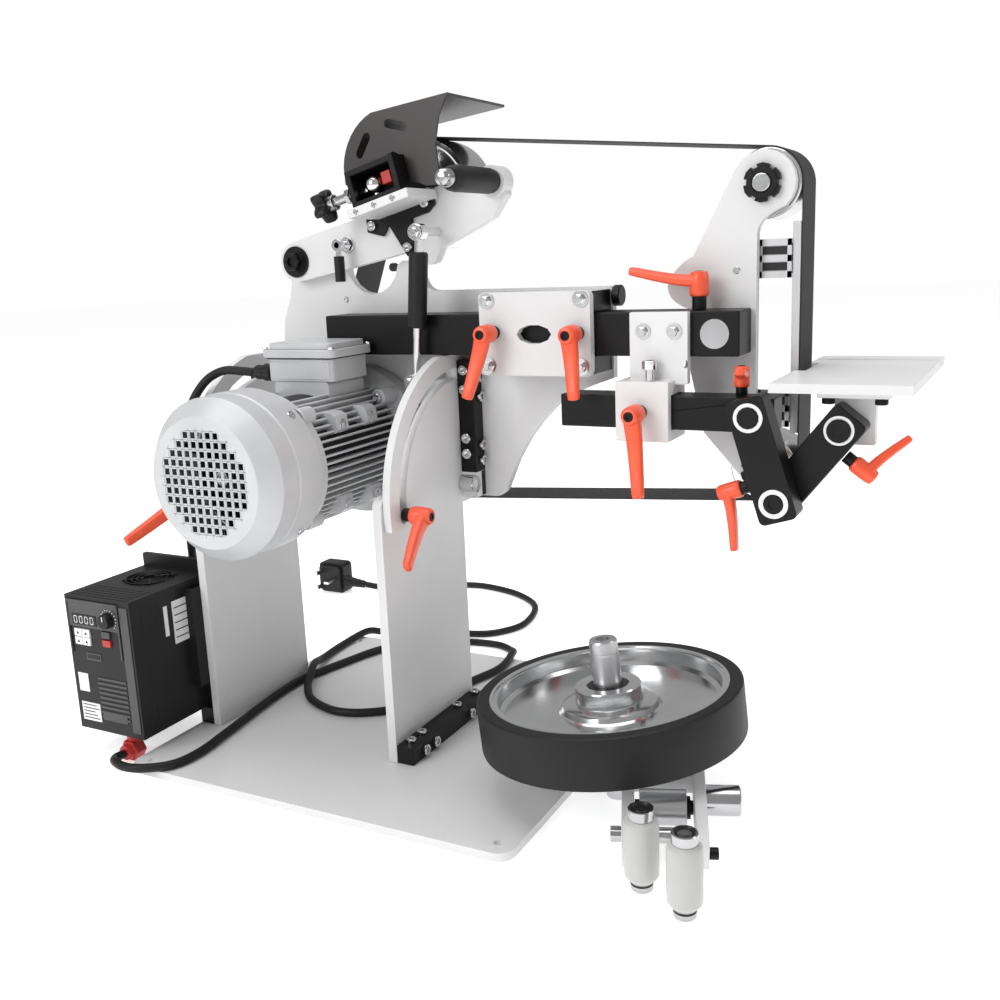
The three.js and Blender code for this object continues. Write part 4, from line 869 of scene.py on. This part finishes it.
def gas_spring():
    top, low = Vector((GAS_TOP[0], 13, GAS_TOP[1])), Vector((GAS_LOW[0], 13, GAS_LOW[1]))
    along = (top - low).normalized()
    black = Shape()
    black.lathe([(4.6, 0), (9, 0), (9.5, 0.8), (9.5, 71), (8, 73), (4.6, 73)], top - along * 92, along, 40)
    make("gas_tube", black, "gas_cylinder", BLACK, 0, instead=["gas_spring_cylinder"])
    eye = Shape()
    eye.rod(top - along * 20, top - along * 6, 4)
    eye.ring(4.4, 8, -5, 5, top, BACK)
    make("gas_tube_eye", eye, "gas_cylinder", CHROME, 0.4)
    rod = Shape()
    rod.rod(low + along * 5, low + along * 72, 4)
    rod.ring(5.4, 8, -5, 5, low, BACK)
    make("gas_rod_bright", rod, "gas_rod", CHROME, 0.4, instead=["gas_spring_rod"])
    washers = Shape()
    for y in (7.6, 5.4):
        washers.disc(7.4, 1.6, (GAS_TOP[0], y, GAS_TOP[1]), FRONT)
    hex_bolt(washers, (GAS_TOP[0], 7.2, GAS_TOP[1]), FRONT, 5.6, 3.4, 8.2)
    make("gas_top_bolt", washers, "tension", CHROME, 0.2)


def gas_foot():
    foot = Shape()
    hex_bolt(foot, (GAS_LOW[0], 3.2, GAS_LOW[1]), FRONT, 5, 3, 7.4)
    make("gas_foot_bolt", foot, "head", CHROME, 0.2)


def stop_stay():
    """The short stay that hangs from the tension arm beside the gas spring."""
    stay = Shape()
    stay.rod(Vector(arm_place(*STAY, 46)), Vector(arm_place(*STAY, 30)), 4)
    stay.disc(8.4, 2, arm_place(*STAY, 49.8), FRONT)
    stay.disc(7, 3, arm_place(*STAY, 46), FRONT, 6)
    stay.disc(6.4, 6, arm_place(*STAY, 36), FRONT)
    eye = Vector(arm_place(*STAY, 33))
    stay.rod(eye, eye + Vector((0, 0, -14)), 3)
    make("stop_stay_eye", stay, "tension", CHROME, 0.3)
    top = eye + Vector((0, 0, -11))
    sleeve = Shape().rod(top, top + Vector((0, 0, -26)), 5.4)
    make("stop_stay_sleeve", sleeve, "tension", BLACK, 0)


# ---- tool arm, platen and work rest ---------------------------------------------------------


def tool_arm():
    repaint(BLACK_STEEL, "tool_arm", bevel=1.5)
    repaint(PAINT, "platen_plate", bevel=0.8)
    repaint(BRUSHED, "platen_bar", bevel=0.5)
    repaint(WHITE, "rest_bracket", bevel=1.0)
    insert = Shape().lathe([(0, 0), (12.4, 0), (13, 0.5), (13, 0.9), (0, 0.9)], (322, 26.2, 417), FRONT, 48)
    make("arm_insert", insert, "tool", STEEL, 0)
    nuts = Shape()
    lug = [(12, 6), (16.4, 7), (16.8, 27), (16.4, 47), (12, 48)]
    for x, z, _ in (IDLER_TOP, IDLER_LOW):
        nuts.ring(8.7, 13.4, 0, 7.4, (x, 66.8, z), FRONT, 40)
        for k in range(6):
            corners = [(r, radians(60 * k + a)) for r, a in lug]
            nuts.prism([(x + r * cos(a), z + r * sin(a)) for r, a in corners], "XZ", 60.4, 66.8)
    make("idler_ring_nuts", nuts, "tool", BLACK_STEEL, 0.3)
    screws = Shape()
    for x in (259, 288):
        hex_bolt(screws, (x, 17.9, 420), FRONT, 4.6, 3.2, 7.2)
    screws.rod((268, 9, 376.8), (268, 9, 388), 4)
    socket_screw(screws, (268, 9, 387.5), UP, 7, 7.5)
    socket_screw(screws, (300, 10, 392), RIGHT, 3.4, 2)
    make("hanger_bolts", screws, "tool", CHROME, 0.1)


def platen_brackets():
    """The slotted brackets between the platen bar and its plate, seen from the front."""
    shape = Shape()
    slots = Shape()
    for z in (345, 479):
        for step in (-14, 0, 14):
            shape.box(346, 376, 78.6, 80.6, z + step - 3, z + step + 3)
        # Dark boxes fill the openings between the bars: painted shade for the slots.
        for step in (-7, 7):
            slots.box(349, 373, 79, 80.3, z + step - 3.4, z + step + 3.4)
        shape.box(345, 350, 78.6, 80.6, z - 17, z + 17)
        shape.box(372, 376, 78.6, 80.6, z - 17, z + 17)
    make("platen_brackets", shape, "tool", BRUSHED, 0.2)
    make("platen_bracket_slot_shade", slots, "tool", DARK, 0)
    screw = Shape()
    socket_screw(screw, (330, 66.8, 470), FRONT, 3.4, 0.8)
    make("platen_plate_screw", screw, "tool", CHROME, 0)


def link_outline(start, end, half, corner=5):
    """A bar with square ends a little past its two pins, and rounded corners."""
    heading = atan2(end[1] - start[1], end[0] - start[0])
    length = hypot(end[0] - start[0], end[1] - start[1])
    outline = rounded(-half, length + half, -half, half, corner)
    c, d = cos(heading), sin(heading)
    return [(start[0] + u * c - v * d, start[1] + u * d + v * c) for u, v in outline]


# The work rest's three pins in the XZ plane: shoulder, elbow and wrist.
ELBOW_A, ELBOW_B, ELBOW_C = (363.5, 350.5), (386.0, 278.0), (433.0, 338.0)


def pin_ring(shape, place, y):
    """The pale ring round the end of a link's pin."""
    profile = [(8.6, 0), (12.4, 0), (12.6, 0.4), (12.4, 0.8), (8.6, 0.8), (8.6, 0)]
    shape.lathe(profile, (place[0], y, place[1]), FRONT, 40)


def work_rest():
    repaint(BLACK_STEEL, "rest_bar", bevel=1.5)
    repaint(WHITE, "work_table", bevel=0.8)
    lower = Shape().prism(link_outline(ELBOW_A, ELBOW_B, 16.5), "XZ", -18, 8)
    lower.rod((386, 6, 278), (386, 37.8, 278), 9.6)
    make("rest_link_lower", lower, "rest_lower", BLACK_STEEL, 1.4, instead=["rest_arm_lower"])
    upper = Shape().prism(link_outline(ELBOW_B, ELBOW_C, 16.5), "XZ", 9.2, 35)
    make("rest_link_upper", upper, "rest_upper", BLACK_STEEL, 1.4, instead=["rest_arm_upper"])
    rings = Shape()
    pin_ring(rings, ELBOW_A, -18)
    pin_ring(rings, ELBOW_B, -18)
    make("rest_pin_rings_lower", rings, "rest_lower", LABEL, 0)
    rings = Shape()
    pin_ring(rings, ELBOW_C, 9.1)
    make("rest_pin_ring_upper", rings, "rest_upper", LABEL, 0)
    pins = Shape()
    for x, z in (ELBOW_A, ELBOW_B):
        socket_screw(pins, (x, -18, z), FRONT, 8, 1.6)
    make("rest_pins_lower", pins, "rest_lower", BLACK_STEEL, 0)
    pins = Shape()
    socket_screw(pins, (ELBOW_C[0], 7.1, ELBOW_C[1]), FRONT, 9.8, 0.8)
    pins.ring(9.9, 10, 0, 2.4, (ELBOW_C[0], 7, ELBOW_C[1]), BACK)
    make("rest_pin_upper", pins, "rest_table", BLACK_STEEL, 0)
    screws = Shape()
    for x in (421, 464):
        socket_screw(screws, (x, 24, 364.5), DOWN, 5.4, 6)
    make("table_screws", screws, "rest_table", BLACK_STEEL, 0)


# ---- clamp levers ---------------------------------------------------------------------------

LINK_A = Vector((22.5, 0, -72.5)).normalized()
LINK_B = Vector((47, 0, 60)).normalized()


def beside_link(pin, direction, back, front):
    """The middle of a link's narrow side, a little before its pin."""
    x = pin[0] - back * direction.x + 17 * direction.z
    z = pin[1] - back * direction.z - 17 * direction.x
    return (x, front + 13, z)


LEVERS = {
    "tilt_right": dict(at=(47.4, -66.4, 255), axis=RIGHT, reach=(0, -50, -36), length=62),
    "tilt_left": dict(at=(-204.4, -66.4, 255), axis=LEFT, reach=(0, -80, -34), length=84),
    "receiver_near": dict(at=(110, 15, 420), axis=FRONT, reach=(-16, 0, -62), length=62),
    "receiver_far": dict(at=(197, 15, 419), axis=FRONT, reach=(8, 0, -58), length=58),
    "platen": dict(at=(302, 46, 437), axis=UP, reach=(-64, -4, 0), length=64, stud=12),
    "rest_slide": dict(at=(262, 0, 350), axis=FRONT, reach=(10, 0, -74), length=72),
    "rest_shoulder": dict(at=(347, 24, 363.6), axis=UP, reach=(6, -30, 0), length=30, stud=8, hub=18,
                          scale=0.8),
    "rest_elbow": dict(at=beside_link(ELBOW_B, LINK_A, 18, -18), axis=(LINK_A.z, 0, -LINK_A.x),
                       reach=(6, -2, -54), length=52, scale=0.85),
    "rest_table": dict(at=beside_link(ELBOW_C, LINK_B, 16, 9), axis=(LINK_B.z, 0, -LINK_B.x),
                       reach=(28, 20, 24), length=46, scale=0.85),
}


def clamp_lever(name, at, axis, reach, length, stud=9, hub=22, scale=1.0):
    """A ratchet lever: black stud, orange hub and a handle that rises and tapers."""
    out = Vector(axis).normalized()
    along = Vector(reach)
    along = (along - out * along.dot(out)).normalized()

    def place(up, forward):
        return Vector(at) + out * up + along * forward

    s = scale
    grip = Shape()
    grip.lathe([
        (0, 0), (7.6 * s, 0), (8.6 * s, 1), (9 * s, 4), (8.8 * s, hub * 0.55), (8.2 * s, hub * 0.85),
        (7 * s, hub - 0.6), (4.6 * s, hub), (4.6 * s, hub - 1.4), (0, hub - 1.4),
    ], place(stud, 0), out, 36)
    root, rise = stud + hub * 0.62, length * 0.16
    path = smooth_path([
        place(root, 2), place(root + rise * 0.1, length * 0.28), place(root + rise * 0.45, length * 0.6),
        place(root + rise * 0.9, length * 0.92), place(root + rise, length + 0.5),
    ], 6)
    count = len(path) - 1
    widths = []
    for k in range(count + 1):
        t = k / count
        end = 1 if t < 0.94 else math.sqrt(max(0.08, 1 - ((t - 0.94) / 0.06) ** 2))
        widths.append(s * (7.9 - 3.2 * t) * end)
    grip.sweep(path, widths, 24, 0.72, up=out, square=0.55)
    node = "lever_" + name
    body = "handle_" + name
    make(node + "_grip", grip, body, ORANGE, 0, instead=[node], angle=50)
    dark = Shape()
    dark.lathe([
        (0, 0.4), (6.2 * s, 0.4), (6.5 * s, 1), (6.5 * s, stud - 0.5), (7.4 * s, stud), (0, stud),
    ], at, out, 28)
    socket_screw(dark, place(stud + hub - 1.3, 0), out, 4.2 * s, 1.6)
    make(node + "_stud", dark, body, BLACK_STEEL, 0)


# ---- inverter -------------------------------------------------------------------------------

CASE = {"left": -296.0, "right": -206.0, "front": -182.0, "bottom": 27.0, "top": 173.0}
FAN_AT = (-251.0, -108.0)
KNOB_X, KNOB_Z = -235.5, 152
GLAND_X = -233


def inverter_case():
    """The box itself, open round the knob, keys and fan, is the CAD node; the panel parts sit on it."""
    repaint(GREY, "inverter_housing", bevel=1.6)
    front = CASE["front"]
    left, right, top, bottom = CASE["left"], CASE["right"], CASE["top"], CASE["bottom"]
    panel = Shape()
    panel.box(left + 3, right - 16, front - 0.9, front + 0.2, top - 33, top - 4)
    panel.box(right - 14, right - 3, front - 0.9, front + 0.2, bottom + 6, top - 6)
    for k in range(9):
        z = bottom + 58 - k * 5.2
        panel.box(left + 34, right - 16, front - 0.8, front + 0.2, z, z + 2.6)
    panel.box(left + 22, left + 43, front - 0.7, front + 0.2, bottom + 78, bottom + 86)
    make("inverter_panel", panel, "stand", RIDGE_GREY, 0.3)
    display = Shape()
    display.box(left + 9, left + 43, front - 1.6, front, top - 30, top - 19)
    display.box(left + 24, left + 41, front - 1.3, front, bottom + 80, bottom + 84)
    make("inverter_display", display, "stand", DARK, 0.3)
    rim = Shape()
    rim.box(left + 3, right - 16, front - 1.8, front - 0.7, top - 6.5, top - 3.6)
    rim.box(right - 17.6, right - 15.6, front - 1.8, front + 0.2, top - 62, top - 3.6)
    rim.box(left + 2.6, left + 4, front - 1.8, front + 0.2, top - 62, top - 3.6)
    rim.box(left + 36, right - 20, front - 1, front, bottom + 14, bottom + 24)
    make("inverter_lid_rim", rim, "stand", RIDGE_GREY, 0.5)


def inverter_marks():
    """Blank labels with lines for text, the display's figures and the side vents as dark strips of painted
    shade.
    """
    front, right, left = CASE["front"], CASE["right"], CASE["left"]
    top, bottom = CASE["top"], CASE["bottom"]
    labels = Shape()
    labels.box(left + 6, left + 20, front - 0.5, front + 0.1, bottom + 42, bottom + 62)
    labels.box(left + 6, left + 32, front - 0.5, front + 0.1, bottom + 10, bottom + 30)
    labels.box(right - 0.1, right + 0.5, front + 44, front + 49, bottom + 96, bottom + 128)
    labels.box(right - 0.1, right + 0.5, front + 56, front + 84, bottom + 84, bottom + 130)
    make("inverter_labels", labels, "stand", LABEL, 0)
    lines = Shape()
    for k in range(5):
        z = bottom + 12.5 + k * 3.6
        lines.box(left + 8, left + 30 - (k % 3) * 3, front - 0.62, front - 0.4, z, z + 1)
        side_z = bottom + 90 + k * 8
        lines.box(right + 0.4, right + 0.62, front + 58, front + 82 - (k % 2) * 5, side_z, side_z + 1.2)
    make("inverter_label_lines", lines, "stand", BLACK, 0)
    figures = Shape()
    for k in range(4):
        seven_segment(figures, left + 12 + k * 7.6, top - 28.5, front - 1.75)
    make("inverter_figures", figures, "stand", LABEL, 0)
    # Dark strips on the right side: painted shade for the vent openings.
    sides = Shape()
    for k in range(8):
        y = front + 16 + k * 3.4
        sides.box(right - 0.2, right + 0.25, y, y + 1.6, top - 40, top - 10)
        sides.box(right - 0.2, right + 0.25, y, y + 1.6, bottom + 10, bottom + 34)
    make("inverter_side_vent_shade", sides, "stand", DARK, 0)


def seven_segment(shape, x, z, y):
    """One figure of a numeric display, 5 mm wide and 8 high."""
    for x0, x1, z0, z1 in (
        (0.6, 4.0, 0, 0.7), (0.6, 4.0, 7.1, 7.8), (0, 0.7, 0.6, 3.6), (0, 0.7, 4.2, 7.2),
        (3.9, 4.6, 0.6, 3.6), (3.9, 4.6, 4.2, 7.2),
    ):
        shape.box(x + x0, x + x1, y, y + 0.3, z + z0, z + z1)


def fan_guard():
    """The guard on top of the inverter, its slots as black strips of painted shade, and the fan below it."""
    guard = Shape()
    for radius in (24.5, 19, 13.5, 8):
        guard.lathe([
            (radius - 0.8, 0), (radius, 0.8), (radius + 0.8, 0), (radius, -0.8), (radius - 0.8, 0),
        ], (*FAN_AT, 174), UP, 40)
    for k in range(4):
        a = radians(45 + 90 * k)
        ends = [(FAN_AT[0] + r * cos(a), FAN_AT[1] + r * sin(a), 174) for r in (6, 28)]
        guard.rod(*ends, 0.9, sides=8)
    # Black strips on the lid: painted shade for its slot openings.
    for k in range(6):
        y = -178 + k * 6
        guard.box(-290, -212, y, y + 2.4, 172.9, 173.3)
    make("fan_guard", guard, "stand", BLACK, 0)
    blades = Shape()
    blades.lathe([(0, 0), (9, 0), (9, 7), (8, 8), (0, 8)], (*FAN_AT, 162), UP, 28)
    for k in range(7):
        vane = Shape().box(8.5, 22.5, -5, 5, -0.8, 0.8)
        turn = Matrix.Rotation(TAU * k / 7, 4, "Z") @ Matrix.Rotation(0.55, 4, "X")
        vane.moved(Matrix.Translation((*FAN_AT, 166)) @ turn)
        blades.add(vane.points, vane.faces)
    make("fan_blades", blades, "fan", BLACK, 0.3, instead=["inverter_fan"])


def inverter_controls():
    knob = Shape().lathe([
        (0, -2), (5.7, -2), (5.7, 1), (8, 1.2), (8, 2), (7.2, 8.4), (6.4, 9), (0, 9),
    ], (KNOB_X, CASE["front"], KNOB_Z), FRONT, 40)
    make("knob_cap", knob, "speed_knob", BLACK, 0.2, instead=["inverter_knob"])
    mark = Shape().box(-236, -235, -191.15, -190.9, 153, 158)
    make("knob_mark", mark, "speed_knob", LABEL, 0)
    dial = Shape()
    for k in range(15):
        a = radians(225 - k * 270 / 14)
        x, z = KNOB_X + 10.3 * cos(a), KNOB_Z + 10.3 * sin(a)
        dial.box(x - 0.5, x + 0.5, -183.2, -182.7, z - 0.5, z + 0.5)
    make("knob_dial", dial, "stand", LABEL, 0)
    repaint(LABEL, "inverter_keypad", bevel=0.4)
    repaint(RIDGE_GREY, "inverter_key_run", bevel=0.5)
    repaint(RED, "inverter_key_stop", bevel=0.5)
    arrows = Shape()
    for x in (-281, -270):
        for z in (124.5, 133.5):
            arrows.prism([(x - 1.8, z - 1), (x + 1.8, z - 1), (x, z + 1.8)], "XZ", -183.75, -183.4)
    make("key_marks", arrows, "keypad", BLACK, 0)
    gland = Shape()
    gland.disc(8, 17, (GLAND_X, -170, 10), UP, 32)
    gland.lathe([(0, 0), (11.6, 0), (12, 1), (12, 13), (11, 14), (0, 14)], (GLAND_X, -166.4, 9.4), FRONT, 6)
    gland.lathe([(0, 0), (8.6, 0), (7.6, 5.6), (5, 6), (0, 6)], (GLAND_X, -180.2, 9.6), FRONT, 32)
    make("gland_nut", gland, "stand", RED, 0.4, instead=["mains_gland"])


# ---- loose tooling --------------------------------------------------------------------------

WHEEL_AT = (250.0, -54.0, 85.0)
WHEEL_AXIS = (-0.1, 0.0, 1.0)


def contact_wheel():
    tyre = Shape().lathe([
        (109.2, -23), (119, -23), (120.6, -22), (121, -20), (121, 20), (120.6, 22), (119, 23), (109.2, 23),
        (109.2, -23),
    ], WHEEL_AT, WHEEL_AXIS, 120)
    make("wheel_tyre", tyre, "big_wheel", RUBBER, 0, instead=["contact_tyre"])
    hub = Shape().lathe([
        (13.4, -19), (34, -19), (34, -11), (96, -8), (100, -22), (101, -22.8), (108.8, -22.8), (108.8, 22.8),
        (106, 22.8), (105.4, 21), (102, 20.6), (101, 9), (97, 6.2), (70, 2.4), (47, 2.6), (45, 4), (43.4, 8),
        (40, 9.4), (31.4, 10), (30.6, 12), (30.2, 23.6), (29.4, 24.8), (19.6, 24.9), (18.6, 23.4),
        (13.4, 23.4), (13.4, -19),
    ], WHEEL_AT, WHEEL_AXIS, 120)
    make("wheel_hub", hub, "big_wheel", ALLOY, 0, instead=["contact_hub"])
    keeper = Shape().lathe([
        (13.4, 23.4), (18.4, 23.4), (18, 24.6), (13.4, 24.6), (13.4, 23.4),
    ], WHEEL_AT, WHEEL_AXIS, 48)
    make("wheel_bearing", keeper, "big_wheel", BLACK_STEEL, 0)
    shaft = Shape().lathe([
        (0, -83.4), (12.4, -83.4), (13, -82.6), (13, 54), (12.6, 54.4), (12.6, 55.4), (13, 55.8), (13, 65.4),
        (12, 67), (6, 67), (5.6, 63), (0, 63),
    ], WHEEL_AT, WHEEL_AXIS, 48)
    make("wheel_shaft", shaft, "big_wheel_shaft", BRUSHED, 0, instead=["contact_shaft"])


HOLDER_TURN = (
    Matrix.Translation((336, -156, 0.2)) @ Matrix.Rotation(0.35, 4, "Z") @ Matrix.Rotation(0.33, 4, "X")
)


def small_wheel_holder():
    plates = Shape()
    for side in (-1, 1):
        plates.prism(rounded(0, 100, 0, 33, 5), "YZ", side * 30 - 5, side * 30 + 5)
    plates.box(-26, 26, 78, 92, 6, 27)
    make("holder_plates", plates.moved(HOLDER_TURN), "holder", PAINT, 0.8, instead=["roller_holder"])
    steel = Shape()
    steel.lathe([(0, 0), (12.4, 0), (13, 0.6), (13, 32), (12.2, 33), (0, 33)], (31, 62, 16), RIGHT, 48)
    steel.disc(6.5, 70, (-44, 20, 19), RIGHT, 36)
    steel.disc(4, 50, (-25, 88, 30), RIGHT, 24)
    make("holder_bars", steel.moved(HOLDER_TURN), "holder", STEEL, 0)
    dark = Shape()
    socket_screw(dark, (35, 9, 12), RIGHT, 5, 8)
    make("holder_screw", dark.moved(HOLDER_TURN), "holder", BLACK_STEEL, 0)
    roller = Shape().lathe([
        (6, -20.4), (14.6, -20.4), (15, -20), (15, 18.4), (14.6, 18.8), (11, 18.8), (10.6, 17), (6, 17),
        (6, -20.4),
    ], (0, 52, 17), RIGHT, 48)
    roller.moved(HOLDER_TURN)
    make("holder_roller_tyre", roller, "small_roller", BRUSHED, 0, instead=["holder_roller"])
    hub = Shape()
    hub.lathe([(0, -24.4), (6, -24.4), (6, 24.4), (0, 24.4)], (0, 52, 17), RIGHT, 32)
    hub.ring(6, 9.5, 18.9, 22, (0, 52, 17), RIGHT, 32)
    make("holder_roller_hub", hub.moved(HOLDER_TURN), "small_roller", BLACK_STEEL, 0)


def loose_roller(side, x, y):
    body = Shape().lathe([
        (0, 7), (9, 7), (13.4, 12), (14, 14), (14, 56), (13.2, 58.6), (9.6, 61.4), (0, 61.4),
    ], (x, y, 0), UP, 48)
    ride = "loose_roller_" + side
    make("loose_roller_body_" + side, body, ride, NYLON, 0, instead=["spare_roller_" + side])
    ends = Shape()
    ends.lathe([(0, 0.2), (8.4, 0.2), (9, 1), (9, 6.6), (8.2, 7), (0, 7)], (x, y, 0), UP, 40)
    ends.lathe([
        (10.2, 61.4), (10.4, 62), (10.4, 69.4), (9.8, 70), (8.6, 70), (8.4, 68.6), (4.4, 68.6), (4.2, 69.4),
        (0, 69.4),
    ], (x, y, 0), UP, 40)
    make("loose_roller_ends_" + side, ends, ride, STEEL, 0)
    seal = Shape().ring(5.6, 8, 68.6, 69, (x, y, 0), UP, 40)
    seal.ring(8.9, 9.2, 5, 6.4, (x, y, 0), UP, 40)
    make("loose_roller_seal_" + side, seal, ride, BLACK, 0)


stand()
head_plates()
motor()
belt()
wheels()
tension_arm()
arm_pivot()
tracking_frame()
tracking_knob()
repaint(HOOD, "belt_hood", bevel=0.4)
gas_spring()
stop_stay()
gas_foot()
tool_arm()
platen_brackets()
work_rest()
for lever_name, lever in LEVERS.items():
    clamp_lever(lever_name, **lever)
inverter_case()
inverter_marks()
fan_guard()
inverter_controls()
contact_wheel()
small_wheel_holder()
loose_roller("left", 327, -186)
loose_roller("right", 369, -207)
